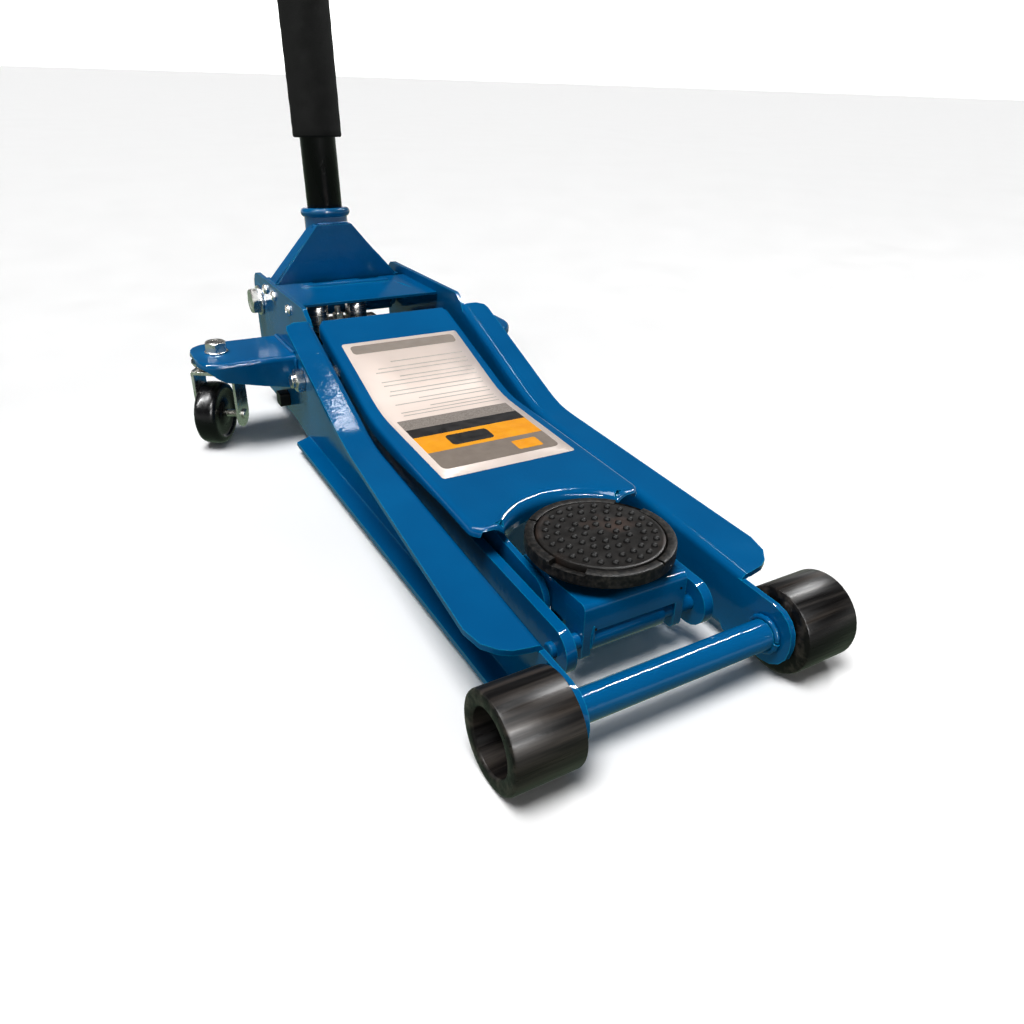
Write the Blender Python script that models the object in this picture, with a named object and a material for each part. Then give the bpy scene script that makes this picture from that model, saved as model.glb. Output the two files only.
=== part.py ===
"""Low-profile trolley jack with a twin-plunger pump, in metres, +Z up, saddle end towards -Y.

The jack is laid out from its front axle: y is measured backwards from the axle and z up from the
floor. The empty "jack" then moves the whole assembly so that its bounding box is centred on the origin.
"""

import math

import bmesh
import bpy
from mathutils import Matrix, Vector

# Running gear
WHEEL_R = 0.0336
WHEEL_WIDTH = 0.0508
WHEEL_HOLLOW_R = 0.0222
WHEEL_HOLLOW_DEPTH = 0.029
AXLE_R = 0.008
AXLE_TUBE_R = 0.0116
CASTER_X = 0.166
CASTER_Y = 0.595
CASTER_TRAIL = 0.006
CASTER_TURN = math.radians(34)
CASTER_R = 0.035
CASTER_WIDTH = 0.024
CASTER_SHIFT = 0.0085
CASTER_BOLT_R = 0.006
CASTER_AXLE_R = 0.004
FORK_HALF = 0.021
FORK_PLATE = 0.003
FORK_LEG_HALF = 0.0145

# Frame
WEB_OUT = 0.090
SHEET = 0.0045
WEB_IN = WEB_OUT - SHEET
BEND_R = 0.007
WEB_TOP = 0.164
KINK = (0.326, 0.089)
FLANGE_FRONT = (0.031, 0.066)
FLANGE_REAR = (0.493, 0.156)
FLANGE_TIP_FRONT = 0.129
FLANGE_TIP_REAR = 0.1145
FOOT_Z = 0.0096
FOOT_TIP = 0.1075
BRACKET_Z = 0.104
BRACKET_TIP = 0.192
BRACKET_FRONT = 0.549
BRACKET_REAR = 0.637
BRACKET_BEND = 0.006
PLUG = (0.606, 0.035)
PLUG_STEM_R = 0.005
WHEEL_IN = WEB_OUT + 0.0025

# Lift arm, levelling links, saddle and ram
ARM_PIVOT = (0.534, 0.080)
ARM_BOLT_R = 0.008
ARM_OUT = 0.065
ARM_IN = 0.0565
INNER_PLATE_OUT = 0.0517
CRADLE_PIN = (0.052, 0.038)
CRADLE_PIN_R = 0.006
CRADLE_HALF = 0.045
CRADLE_BASE = 0.044
CRADLE_TOP = 0.071
LINK_OFFSET = (0.040, -0.014)
LINK_PIN = (CRADLE_PIN[0] + LINK_OFFSET[0], CRADLE_PIN[1] + LINK_OFFSET[1])
LINK_ANCHOR = (ARM_PIVOT[0] + LINK_OFFSET[0], ARM_PIVOT[1] + LINK_OFFSET[1])
LINK_X = 0.040
LINK_HALF = 0.004
LINK_PIN_R = 0.004
ANCHOR_R = 0.005
SADDLE_Y = 0.094
SADDLE_R = 0.056
SADDLE_TOP = 0.091
LUG = (0.554, 0.045)
LUG_R = 0.009
RAM_Z = 0.044

# Cover plate over the lift arm
COVER_KINK = (0.360, 0.097)
COVER_FRONT = (0.143, 0.087)
COVER_REAR = (0.510, 0.151)
COVER_SHEET = 0.004
COVER_HALF_FRONT = 0.0785
COVER_HALF_REAR = 0.0755
NOTCH_R = 0.072
LABEL_HALF = 0.065
LABEL_FRONT = 0.224
LABEL_REAR = 0.466

# Handle and pump
YOKE_PIVOT = (0.690, 0.132)
YOKE_BOLT_R = 0.010
PRESSER = (YOKE_PIVOT[0] - 0.004, YOKE_PIVOT[1] - 0.018)
SOCKET_TOP = (0.6905, 0.2353)
HANDLE_LEAN = math.radians(4.64)
HANDLE_TUBE_R = 0.0205
HANDLE_TOP = 1.050
SLEEVE_R = 0.028
GRIP_R = 0.022
PLUNGER_X = {-1: -0.032, 1: 0.017}
PLUNGER_Z = 0.112
BARREL_Y = 0.6515

GAP = 0.0003
REAR_TIP = SOCKET_TOP[0] + HANDLE_TOP * math.sin(HANDLE_LEAN) + GRIP_R * math.cos(HANDLE_LEAN)
MID_Y = (REAR_TIP - WHEEL_R) / 2


def material(name, color, roughness, metallic=0.0):
    mat = bpy.data.materials.new(name)
    mat.use_nodes = True
    shader = mat.node_tree.nodes["Principled BSDF"]
    shader.inputs["Base Color"].default_value = (*color, 1.0)
    shader.inputs["Roughness"].default_value = roughness
    shader.inputs["Metallic"].default_value = metallic
    return mat


for old in list(bpy.data.objects):
    bpy.data.objects.remove(old, do_unlink=True)

BLUE = material("blue_paint", (0.0, 0.105, 0.31), 0.2)
ZINC = material("zinc_plate", (0.62, 0.62, 0.60), 0.3, 1.0)
STEEL = material("bright_steel", (0.55, 0.54, 0.52), 0.22, 1.0)
BLACK_STEEL = material("black_wheel", (0.022, 0.02, 0.019), 0.35)
RUBBER = material("black_rubber", (0.015, 0.014, 0.014), 0.6)
FOAM = material("foam_sleeve", (0.02, 0.02, 0.021), 0.9)
BLACK_TUBE = material("black_tube", (0.012, 0.012, 0.012), 0.45)
NYLON = material("caster_nylon", (0.014, 0.014, 0.016), 0.3)
LABEL = material("label", (0.93, 0.82, 0.75), 0.4)


# ---------------------------------------------------------------- empties and placing
PIVOT_AT = {}


def pivot(name, at, parent=None):
    """An empty on a joint's axis; at is in the jack's own coordinates."""
    empty = bpy.data.objects.new(name, None)
    bpy.context.collection.objects.link(empty)
    empty.parent = parent
    base = PIVOT_AT[parent.name] if parent else Vector((0, MID_Y, 0))
    empty.location = Vector(at) - base
    PIVOT_AT[name] = Vector(at)
    return empty


def place(obj, parent, at=(0, 0, 0)):
    obj.parent = parent
    obj.location = Vector(at) - PIVOT_AT[parent.name]
    return obj


def yz(x, point):
    return (x, point[0], point[1])


JACK = pivot("jack", (0, 0, 0))


# ---------------------------------------------------------------- shapes
def finish_mesh(name, bm, mat, smooth=True):
    bmesh.ops.recalc_face_normals(bm, faces=bm.faces)
    mesh = bpy.data.meshes.new(name)
    bm.to_mesh(mesh)
    bm.free()
    mesh.materials.append(mat)
    if smooth:
        mesh.shade_smooth()
        mesh.set_sharp_from_angle(angle=math.radians(35))
    obj = bpy.data.objects.new(name, mesh)
    bpy.context.collection.objects.link(obj)
    return obj


def rounded(corners, steps=4):
    """Polygon with a fillet at each corner; corners are (u, v, radius)."""
    points = []
    count = len(corners)
    for i, (u, v, radius) in enumerate(corners):
        here = Vector((u, v))
        if radius <= 0:
            points.append(here)
            continue
        before = (Vector(corners[i - 1][:2]) - here).normalized()
        after = (Vector(corners[(i + 1) % count][:2]) - here).normalized()
        half = before.angle(after) / 2
        centre = here + (before + after).normalized() * radius / math.sin(half)
        reach = radius / math.tan(half)
        start = here + before * reach - centre
        turn = start.angle_signed(here + after * reach - centre)
        for k in range(steps + 1):
            angle = -turn * k / steps
            points.append(centre + Matrix.Rotation(angle, 2) @ start)
    return [tuple(p) for p in points]


def lobe(centre, radius, start, end, steps=10):
    """Arc of an outline about centre, from start to end in degrees (0 towards +u, 90 towards +v)."""
    angles = [math.radians(start + (end - start) * k / steps) for k in range(steps + 1)]
    return [(centre[0] + radius * math.cos(a), centre[1] + radius * math.sin(a)) for a in angles]


def prism(name, outline, low, high, mat, axis="X", smooth=True):
    """Flat outline pushed out between low and high along axis."""
    orders = {"X": lambda u, v, w: (w, u, v), "Y": lambda u, v, w: (u, w, v), "Z": lambda u, v, w: (u, v, w)}
    order = orders[axis]
    bm = bmesh.new()
    bottom = [bm.verts.new(order(u, v, low)) for u, v in outline]
    top = [bm.verts.new(order(u, v, high)) for u, v in outline]
    bm.faces.new(bottom)
    bm.faces.new(top)
    for i in range(len(outline)):
        j = (i + 1) % len(outline)
        bm.faces.new((bottom[i], bottom[j], top[j], top[i]))
    return finish_mesh(name, bm, mat, smooth)


def block(name, low, high, mat, bevel=0.0):
    bm = bmesh.new()
    bmesh.ops.create_cube(bm, size=1.0)
    size = [h - l for l, h in zip(low, high)]
    middle = [(h + l) / 2 for l, h in zip(low, high)]
    bmesh.ops.transform(bm, matrix=Matrix.Translation(middle) @ Matrix.Diagonal((*size, 1)), verts=bm.verts)
    if bevel:
        bmesh.ops.bevel(bm, geom=list(bm.edges), offset=bevel, segments=2, affect="EDGES", profile=0.5)
    return finish_mesh(name, bm, mat)


def hex_radius(angle, apothem):
    step = math.radians(60)
    return apothem / math.cos((angle % step) - step / 2)


def turned(name, profile, mat, at=(0, 0, 0), direction=(0, 0, 1), segments=24, hollow=False):
    """Solid of revolution; profile is (along, radius) or (along, apothem, "hex") in order.

    A hollow profile closes on itself round a bore; any other is closed by its end faces."""
    bm = bmesh.new()
    rings = []
    for station in profile:
        along, radius = station[:2]
        ring = []
        for k in range(segments):
            angle = 2 * math.pi * k / segments
            r = hex_radius(angle, radius) if len(station) > 2 else radius
            ring.append(bm.verts.new((r * math.cos(angle), r * math.sin(angle), along)))
        rings.append(ring)
    pairs = list(zip(rings, rings[1:]))
    if hollow:
        pairs.append((rings[-1], rings[0]))
    else:
        bm.faces.new(rings[0])
        bm.faces.new(rings[-1])
    for low, high in pairs:
        for k in range(segments):
            j = (k + 1) % segments
            bm.faces.new((low[k], low[j], high[j], high[k]))
    turn = Vector(direction).normalized().to_track_quat("Z", "Y").to_matrix().to_4x4()
    bmesh.ops.transform(bm, matrix=Matrix.Translation(at) @ turn, verts=bm.verts)
    return finish_mesh(name, bm, mat)


def rod(name, start, end, radius, mat, segments=16):
    length = (Vector(end) - Vector(start)).length
    return turned(name, [(0, radius), (length, radius)], mat, start, Vector(end) - Vector(start), segments)


def combine(base, others, operation="UNION"):
    """Applies one exact Boolean after another to base, and removes the tools."""
    for other in others:
        modifier = base.modifiers.new(operation.lower(), "BOOLEAN")
        modifier.operation = operation
        modifier.object = other
    bpy.context.view_layer.update()
    evaluated = base.evaluated_get(bpy.context.evaluated_depsgraph_get())
    mesh = bpy.data.meshes.new_from_object(evaluated)
    mesh.name = base.name
    base.modifiers.clear()
    base.data = mesh
    mesh.shade_smooth()
    mesh.set_sharp_from_angle(angle=math.radians(35))
    for other in others:
        bpy.data.objects.remove(other, do_unlink=True)
    return base


def cut(base, cutters):
    return combine(base, cutters, "DIFFERENCE")


def hole(x0, x1, point, radius, segments=24):
    return rod("hole", yz(x0, point), yz(x1, point), radius, STEEL, segments)


# ---------------------------------------------------------------- frame
def bent(y, front, kink, rear, reach=0.022):
    """Height at y of two straight runs through kink, blended smoothly within reach of it."""
    lead = (kink[1] - front[1]) / (kink[0] - front[0])
    trail = (rear[1] - kink[1]) / (rear[0] - kink[0])
    along = y - kink[0]
    if abs(along) >= reach:
        return kink[1] + (lead if along < 0 else trail) * along
    return kink[1] + lead * along + (trail - lead) * (along + reach) ** 2 / (4 * reach)


def flange_height(y):
    return bent(y, FLANGE_FRONT, KINK, FLANGE_REAR)


def cover_height(y):
    return bent(y, COVER_FRONT, COVER_KINK, COVER_REAR)


def round_end(distance, radius):
    """How far an edge is drawn in by a corner of this radius, at a distance from the plate's end."""
    if distance >= radius:
        return 0.0
    return radius - math.sqrt(radius ** 2 - (radius - distance) ** 2)


def flange_tip(y):
    share = min(max((KINK[0] - y) / (KINK[0] - FLANGE_FRONT[0]), 0), 1)
    tip = FLANGE_TIP_REAR + (FLANGE_TIP_FRONT - FLANGE_TIP_REAR) * share
    return tip - round_end(y - FLANGE_FRONT[0], 0.034) - round_end(FLANGE_REAR[0] - y, 0.010)


def loft(name, sections, mat):
    """Joins closed loops of points, one after another, and closes both ends."""
    bm = bmesh.new()
    loops = [[bm.verts.new(p) for p in section] for section in sections]
    bm.faces.new(loops[0])
    bm.faces.new(loops[-1])
    for low, high in zip(loops, loops[1:]):
        for k in range(len(low)):
            j = (k + 1) % len(low)
            bm.faces.new((low[k], low[j], high[j], high[k]))
    return finish_mesh(name, bm, mat)


def spread(start, end, count):
    return [start + (end - start) * k / count for k in range(count + 1)]


def top_flange(side):
    inner = (WEB_IN + BEND_R, -BEND_R)
    bend_out = lobe(inner, BEND_R, 180, 90, 3)
    bend_in = lobe(inner, BEND_R - SHEET, 90, 180, 2)
    ends = [0.031, 0.0335, 0.038, 0.048, 0.065]
    kink = spread(KINK[0] - 0.022, KINK[0] + 0.022, 4)
    rear = [0.483, 0.489, 0.493]
    sections = []
    for y in ends + kink + rear:
        tip = max(flange_tip(y), WEB_IN + BEND_R + 0.001)
        loop = [(WEB_IN, -0.016)] + bend_out + [(tip, 0), (tip, -SHEET)] + bend_in + [(WEB_OUT, -0.016)]
        sections.append([(side * x, y, flange_height(y) + h) for x, h in loop])
    return loft("flange", sections, BLUE)


def foot_flange(side):
    inner = (WEB_IN + BEND_R, BEND_R)
    bend_out = lobe(inner, BEND_R, 180, 270, 2)
    bend_in = lobe(inner, BEND_R - SHEET, 270, 180, 2)
    sections = []
    for y, skew, tip in ((0.043, 0, 0.100), (0.048, 0, FOOT_TIP), (0.531, -0.012, FOOT_TIP)):
        loop = [(WEB_IN, 0.016)] + bend_out + [(tip, 0), (tip, SHEET)] + bend_in + [(WEB_OUT, 0.016)]
        reach = FOOT_TIP - WEB_IN
        sections.append([(side * x, y + skew * (x - WEB_IN) / reach, FOOT_Z + h) for x, h in loop])
    return loft("foot", sections, BLUE)


def web_outline():
    """Outline (y, z) of a side plate's web, which runs inside the two bent flanges."""
    front = [(0.010, 0.0600, 0.02), (-0.023, 0.0590, 0.022), (-0.023, 0.010, 0.022), (0.040, 0.010, 0.004)]
    below = [(0.047, 0.0200, 0), (0.524, 0.0200, 0), (0.530, FOOT_Z, 0), (0.569, 0.015, 0.04)]
    tail = [(0.592, 0.018, 0.03), (0.708, 0.018, 0.012), (0.713, 0.100, 0.03), (0.711, WEB_TOP, 0.018),
            (0.508, 0.1655, 0.010), (0.494, 0.1560, 0)]
    top = [(y, flange_height(y) - 0.010, 0) for y in (0.484, *spread(0.348, 0.304, 4), 0.04)]
    return rounded(front + below + tail + top + [(0.034, 0.0610, 0)])


def side_name(base, side):
    return base + ("_left" if side < 0 else "_right")


def side_plate(side):
    low, high = sorted((side * WEB_IN, side * WEB_OUT))
    web = prism(side_name("side_plate", side), web_outline(), low, high, BLUE)
    combine(web, [top_flange(side), foot_flange(side)])
    reach = (side * (WEB_IN - 0.01), side * (WEB_OUT + 0.01))
    cut(web, [hole(*reach, (0, WHEEL_R), AXLE_R + GAP),
              hole(*reach, ARM_PIVOT, ARM_BOLT_R + GAP),
              hole(*reach, YOKE_PIVOT, YOKE_BOLT_R + GAP),
              hole(*reach, PLUG, PLUG_STEM_R + GAP)])
    place(web, JACK)


def cross_members():
    half = WEB_IN - GAP
    tube = [(-half, AXLE_TUBE_R + 0.002), (0.002 - half, AXLE_TUBE_R + 0.002), (0.004 - half, AXLE_TUBE_R),
            (half - 0.004, AXLE_TUBE_R), (half - 0.002, AXLE_TUBE_R + 0.002), (half, AXLE_TUBE_R + 0.002),
            (half, AXLE_R + GAP), (-half, AXLE_R + GAP)]
    place(turned("front_axle_tube", tube, BLUE, yz(0, (0, WHEEL_R)), (1, 0, 0), hollow=True), JACK)
    plate = block("rear_cross_plate", (-half, 0.556, 0.1528), (half, 0.656, 0.1560), BLUE, 0.001)
    rib = [(-0.062, 0.002), (-0.056, 0.005), (0.056, 0.005), (0.062, 0.002)]
    combine(plate, [turned("rib", rib, BLUE, (0, 0.632, 0.1534), (1, 0, 0), 12)])
    place(plate, JACK)
    place(block("rear_tie_plate", (-half, 0.642, 0.0190), (half, 0.700, 0.0228), BLUE, 0.0008), JACK)
    anchor = yz(0, LINK_ANCHOR)
    place(turned("link_anchor_rod", [(-half, ANCHOR_R), (half, ANCHOR_R)], ZINC, anchor, (1, 0, 0), 16), JACK)


def bracket(side):
    """Channel-section outrigger that carries one caster."""
    sections = []
    flange = ((WEB_OUT + GAP, 0.038), (0.130, 0.030), (0.168, 0.021), (0.176, 0.016), (0.181, 0.0115),
              (0.186, 0.0085), (0.190, 0.007), (BRACKET_TIP, 0.007))
    for x, depth in flange:
        drawn_in = round_end(BRACKET_TIP - x, 0.026)
        front, rear = BRACKET_FRONT + drawn_in, BRACKET_REAR - drawn_in
        bottom = BRACKET_Z - depth
        shoulder = BRACKET_Z - BRACKET_BEND
        outer = [(front, bottom)] + lobe((front + BRACKET_BEND, shoulder), BRACKET_BEND, 180, 90, 3)
        outer += lobe((rear - BRACKET_BEND, shoulder), BRACKET_BEND, 90, 0, 3) + [(rear, bottom)]
        inset = BRACKET_BEND - SHEET
        inner = [(rear - SHEET, bottom)] + lobe((rear - BRACKET_BEND, shoulder), inset, 0, 90, 2)
        inner += lobe((front + BRACKET_BEND, shoulder), inset, 90, 180, 2) + [(front + SHEET, bottom)]
        sections.append([(side * x, y, z) for y, z in outer + inner])
    body = loft(side_name("caster_bracket", side), sections, BLUE)
    low, high = [(side * CASTER_X, CASTER_Y, z) for z in (0.09, 0.11)]
    place(cut(body, [rod("bore", low, high, CASTER_BOLT_R + GAP, STEEL)]), JACK)


def frame_fasteners(side):
    out = (side, 0, 0)
    bolt = [(0.0550, ARM_BOLT_R), (0.0654, ARM_BOLT_R), (0.0654, 0.013), (0.0850, 0.013),
            (0.0850, ARM_BOLT_R), (0.1025, ARM_BOLT_R), (0.1035, 0.007)]
    place(turned(side_name("arm_pivot_bolt", side), bolt, ZINC, yz(0, ARM_PIVOT), out, 16), JACK)
    nut = [(0.0903, 0.0105), (0.0913, 0.0115, "hex"), (0.0980, 0.0115, "hex"), (0.0990, 0.0105),
           (0.0990, ARM_BOLT_R + 2 * GAP), (0.0903, ARM_BOLT_R + 2 * GAP)]
    place(turned(side_name("arm_pivot_nut", side), nut, ZINC, yz(0, ARM_PIVOT), out, 12, True), JACK)
    yoke_bolt = [(0.0720, YOKE_BOLT_R), (0.0903, YOKE_BOLT_R), (0.0903, 0.0175), (0.0927, 0.0175),
                 (0.0928, 0.0140, "hex"), (0.1010, 0.0140, "hex"), (0.1025, 0.0125)]
    place(turned(side_name("yoke_bolt", side), yoke_bolt, ZINC, yz(0, YOKE_PIVOT), out, 12), JACK)
    low, high = sorted((side * 0.0903, side * 0.1020))
    y, z = PLUG
    head = rounded([(y - 0.009, z - 0.008, 0.003), (y + 0.009, z - 0.008, 0.003),
                    (y + 0.009, z + 0.008, 0.003), (y - 0.009, z + 0.008, 0.003)], 3)
    plug = prism(side_name("frame_plug", side), head, low, high, RUBBER)
    stem = rod("stem", yz(side * 0.083, PLUG), yz(side * 0.092, PLUG), PLUG_STEM_R, RUBBER)
    place(combine(plug, [stem]), JACK)


# ---------------------------------------------------------------- running gear
def front_axle():
    end = WHEEL_IN + WHEEL_WIDTH - WHEEL_HOLLOW_DEPTH + 0.0062
    shaft = [(-end, 0.007), (0.001 - end, AXLE_R), (end - 0.001, AXLE_R), (end, 0.007)]
    place(turned("front_axle_shaft", shaft, STEEL, yz(0, (0, WHEEL_R)), (1, 0, 0), 16), JACK)


def front_wheel(side):
    hub = PIVOTS[side_name("front_wheel_axis", side)]
    floor = WHEEL_WIDTH - WHEEL_HOLLOW_DEPTH
    at = yz(side * WHEEL_IN, (0, WHEEL_R))
    rim = [(0, AXLE_R + GAP), (0, WHEEL_R - 0.0015), (0.0015, WHEEL_R), (WHEEL_WIDTH - 0.0015, WHEEL_R),
           (WHEEL_WIDTH, WHEEL_R - 0.0015), (WHEEL_WIDTH, WHEEL_HOLLOW_R), (floor, WHEEL_HOLLOW_R),
           (floor, AXLE_R + GAP)]
    wheel = turned(side_name("front_wheel", side), rim, BLACK_STEEL, (0, 0, 0), (side, 0, 0), 36, True)
    place(wheel, hub, at)
    clip = [(floor + GAP, 0.0125), (floor + 0.0028, 0.0125), (floor + 0.0028, AXLE_R + GAP),
            (floor + GAP, AXLE_R + GAP)]
    place(turned(side_name("axle_clip", side), clip, ZINC, at, (side, 0, 0), 20, True), JACK)


def caster(side):
    """Swivel fork, wheel and axle; local x runs along the wheel's axle."""
    swivel = PIVOTS[side_name("caster_swivel_axis", side)]
    spin = PIVOTS[side_name("caster_wheel_axis", side)]
    turn = Matrix.Rotation(side * CASTER_TURN, 4, "Z") @ Matrix.Translation((0, -CASTER_TRAIL, 0))
    top = (side * CASTER_X, CASTER_Y, 0)
    bolt = [(0.0795, 0.009), (0.0825, 0.009), (0.0825, CASTER_BOLT_R), (0.1043, CASTER_BOLT_R),
            (0.1043, 0.0125), (0.1058, 0.0125), (0.1058, 0.0105, "hex"), (0.1150, 0.0105, "hex"),
            (0.1162, 0.0095), (0.1162, 0.0058), (0.1178, 0.0052)]
    place(turned(side_name("caster_bolt", side), bolt, ZINC, top, segments=12), JACK)
    race = [(0.0873, 0.0170), (0.0885, 0.0220), (0.0920, 0.0262), (0.0950, 0.0280), (0.0963, 0.0280),
            (0.0968, 0.0190), (0.0992, 0.0175), (0.0992, CASTER_BOLT_R + GAP), (0.0873, CASTER_BOLT_R + GAP)]
    place(turned(side_name("caster_race", side), race, ZINC, top, segments=20, hollow=True), JACK)

    outer = FORK_HALF + FORK_PLATE
    front = -FORK_LEG_HALF
    deck = rounded([(-outer, front, 0.004), (outer, front, 0.004), (outer, 0.028, 0.008),
                    (-outer, 0.028, 0.008)], 3)
    fork = prism(side_name("caster_fork", side), deck, 0.0830, 0.0870, ZINC, "Z")
    leg = lobe((0, CASTER_R), FORK_LEG_HALF, 180, 360, 8) + [(-front, 0.0865), (front, 0.0865)]
    legs = [prism("leg", leg, *sorted((s * FORK_HALF, s * outer)), ZINC) for s in (-1, 1)]
    combine(fork, legs)
    cut(fork, [hole(-0.03, 0.03, (0, CASTER_R), CASTER_AXLE_R + GAP),
               rod("bore", (0, CASTER_TRAIL, 0.07), (0, CASTER_TRAIL, 0.1), CASTER_BOLT_R + GAP, ZINC)])
    fork.data.transform(turn)
    place(fork, swivel, top)

    seat, end = outer + GAP, outer + 0.006
    axle = [(-end, 0.0055, "hex"), (-seat, 0.0055, "hex"), (-seat, CASTER_AXLE_R), (seat, CASTER_AXLE_R),
            (seat, 0.0055, "hex"), (end, 0.0055, "hex")]
    pin = turned(side_name("caster_axle", side), axle, ZINC, (0, 0, CASTER_R), (1, 0, 0), 12)
    pin.data.transform(turn)
    place(pin, swivel, top)
    half = CASTER_WIDTH / 2
    bore = CASTER_AXLE_R + GAP
    dished = half - 0.0025
    tread = [(-half, bore), (-half, 0.0130), (-dished, 0.0160), (-dished, 0.0255), (-half, 0.0285),
             (0.0045 - half, CASTER_R), (half - 0.0045, CASTER_R), (half, 0.0285), (dished, 0.0255),
             (dished, 0.0160), (half, 0.0130), (half, bore)]
    at = (side * CASTER_SHIFT, 0, CASTER_R)
    wheel = turned(side_name("caster_wheel", side), tread, NYLON, at, (1, 0, 0), 24, True)
    wheel.data.transform(turn)
    place(wheel, spin, top)


# ---------------------------------------------------------------- lift arm
def arm_plate(side):
    top = [(0.175, 0.0620, 0.02), (0.240, 0.0835, 0.02), (0.345, 0.0905, 0.02), (0.370, 0.0945, 0.02),
           (0.490, 0.1375, 0.006), (0.514, 0.1300, 0.015)]
    lug_end = lobe(LUG, 0.015, -20, -100, 6)
    pivot_end = lobe(ARM_PIVOT, 0.028, 50, -10, 7)
    toe = lobe(CRADLE_PIN, 0.0185, 265, 95, 10)
    belly = [(0.500, 0.030), (0.345, 0.0205), (0.200, 0.0200)]
    crown = rounded([(0.052, 0.0565, 0), *top, (0.552, 0.1015, 0)])[1:-1]
    outline = toe + crown + pivot_end + lug_end + belly
    low, high = sorted((side * ARM_IN, side * ARM_OUT))
    plate = prism(side_name("arm_plate", side), outline, low, high, BLUE)
    reach = (side * (ARM_IN - 0.01), side * (ARM_OUT + 0.01))
    cut(plate, [hole(*reach, CRADLE_PIN, CRADLE_PIN_R + GAP), hole(*reach, ARM_PIVOT, ARM_BOLT_R + GAP)])
    place(plate, ARM)


def arm_inner_plate(side):
    """Shorter doubler inside each arm plate, with a round nose beside the cradle."""
    nose = lobe((0.102, 0.048), 0.0175, 260, 100, 8)
    top = rounded([(0.102, 0.0655, 0), (0.150, 0.0700, 0.02), (0.180, 0.0795, 0.02), (0.325, 0.0885, 0.004),
                   (0.325, 0.0440, 0.004), (0.102, 0.0305, 0)])[1:-1]
    low, high = sorted((side * (INNER_PLATE_OUT - 0.005), side * INNER_PLATE_OUT))
    place(prism(side_name("arm_inner_plate", side), nose + top, low, high, BLUE), ARM)


def arm_bars():
    half = ARM_IN - GAP
    tube = [(-half, 0.006), (half, 0.006)]
    place(turned("arm_cross_bar", tube, BLUE, yz(0, (0.345, 0.034)), (1, 0, 0), 20), ARM)
    place(turned("ram_lug_bar", [(-half, LUG_R), (half, LUG_R)], STEEL, yz(0, LUG), (1, 0, 0), 24), ARM)


def cover_half(y):
    share = (y - COVER_FRONT[0]) / (COVER_REAR[0] - COVER_FRONT[0])
    half = COVER_HALF_FRONT + (COVER_HALF_REAR - COVER_HALF_FRONT) * share
    return half - round_end(y - COVER_FRONT[0], 0.012) - round_end(COVER_REAR[0] - y, 0.008)


def cover_plate():
    """Bent cover over the arm, with turned-down sides and a round notch for the saddle."""
    front = [COVER_FRONT[0] + d for d in (0, 0.0015, 0.005, 0.012, 0.06)]
    kink = spread(COVER_KINK[0] - 0.022, COVER_KINK[0] + 0.022, 4)
    rear = [0.502, 0.508, COVER_REAR[0]]
    sections = []
    for y in front + [0.30] + kink + rear:
        half = cover_half(y)
        depth = 0.0075 + 0.0065 * min(max((y - 0.20) / 0.10, 0), 1)
        radius = 0.0055
        inset = radius - COVER_SHEET
        right = lobe((half - radius, -radius), radius, 90, 0, 3)
        right += [(half, -depth), (half - COVER_SHEET, -depth)]
        right += lobe((half - radius, -radius), inset, 0, 90, 2)
        left = [(-x, z) for x, z in reversed(right)]
        sections.append([(x, y, cover_height(y) + z) for x, z in right + left])
    cover = loft("cover_plate", sections, BLUE)
    notch = rod("notch", (0, SADDLE_Y, 0.05), (0, SADDLE_Y, 0.12), NOTCH_R, BLUE, 48)
    place(cut(cover, [notch]), ARM)

    label = []
    for y in [LABEL_FRONT, *kink, LABEL_REAR]:
        base = cover_height(y) + GAP
        label.append([(LABEL_HALF, y, base), (LABEL_HALF, y, base + 0.0004),
                      (-LABEL_HALF, y, base + 0.0004), (-LABEL_HALF, y, base)])
    place(loft("cover_label", label, LABEL), ARM)


def cradle():
    """Cast cradle: a block with front ears round the cradle pin and rear lugs for the links."""
    half = CRADLE_HALF
    body = rounded([(0.045, CRADLE_BASE, 0.003), (0.128, CRADLE_BASE, 0.004),
                    (0.128, CRADLE_TOP - 0.004, 0.004), (0.100, CRADLE_TOP, 0.01),
                    (0.045, CRADLE_TOP, 0.004)], 3)
    cast = prism("saddle_cradle", body, -half, half, BLUE)
    ear = rounded([(0.0438, 0.0235, 0.005), (0.0620, 0.0235, 0.010), (0.0665, 0.0420, 0.004),
                   (0.0665, 0.052, 0), (0.0438, 0.052, 0)])
    link_lug = lobe(LINK_PIN, 0.008, 180, 360, 6) + [(0.104, 0.052), (0.082, 0.052)]
    pieces = []
    for side in (-1, 1):
        pieces.append(prism("ear", ear, *sorted((side * 0.0335, side * (half - 0.0005))), BLUE))
        low, high = sorted((side * 0.028, side * (LINK_X - LINK_HALF - 0.001)))
        pieces.append(prism("lug", link_lug, low, high, BLUE))
    pieces.append(rod("sleeve", yz(-0.034, CRADLE_PIN), yz(0.034, CRADLE_PIN), 0.0085, BLUE))
    combine(cast, pieces)
    cut(cast, [hole(-0.06, 0.06, CRADLE_PIN, CRADLE_PIN_R + GAP),
               hole(-0.06, 0.06, LINK_PIN, LINK_PIN_R + GAP),
               rod("bore", (0, SADDLE_Y, 0.02), (0, SADDLE_Y, 0.10), 0.0100, BLUE)])
    place(cast, CRADLE)
    pin = [(-0.0695, 0.005), (-0.0685, CRADLE_PIN_R), (0.0685, CRADLE_PIN_R), (0.0695, 0.005)]
    place(turned("cradle_pin", pin, BLUE, yz(0, CRADLE_PIN), (1, 0, 0), 16), CRADLE)
    end = LINK_X + LINK_HALF + 0.0015
    link_pin = [(-end, LINK_PIN_R), (end, LINK_PIN_R)]
    place(turned("link_pin", link_pin, ZINC, yz(0, LINK_PIN), (1, 0, 0), 20), CRADLE)


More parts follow.
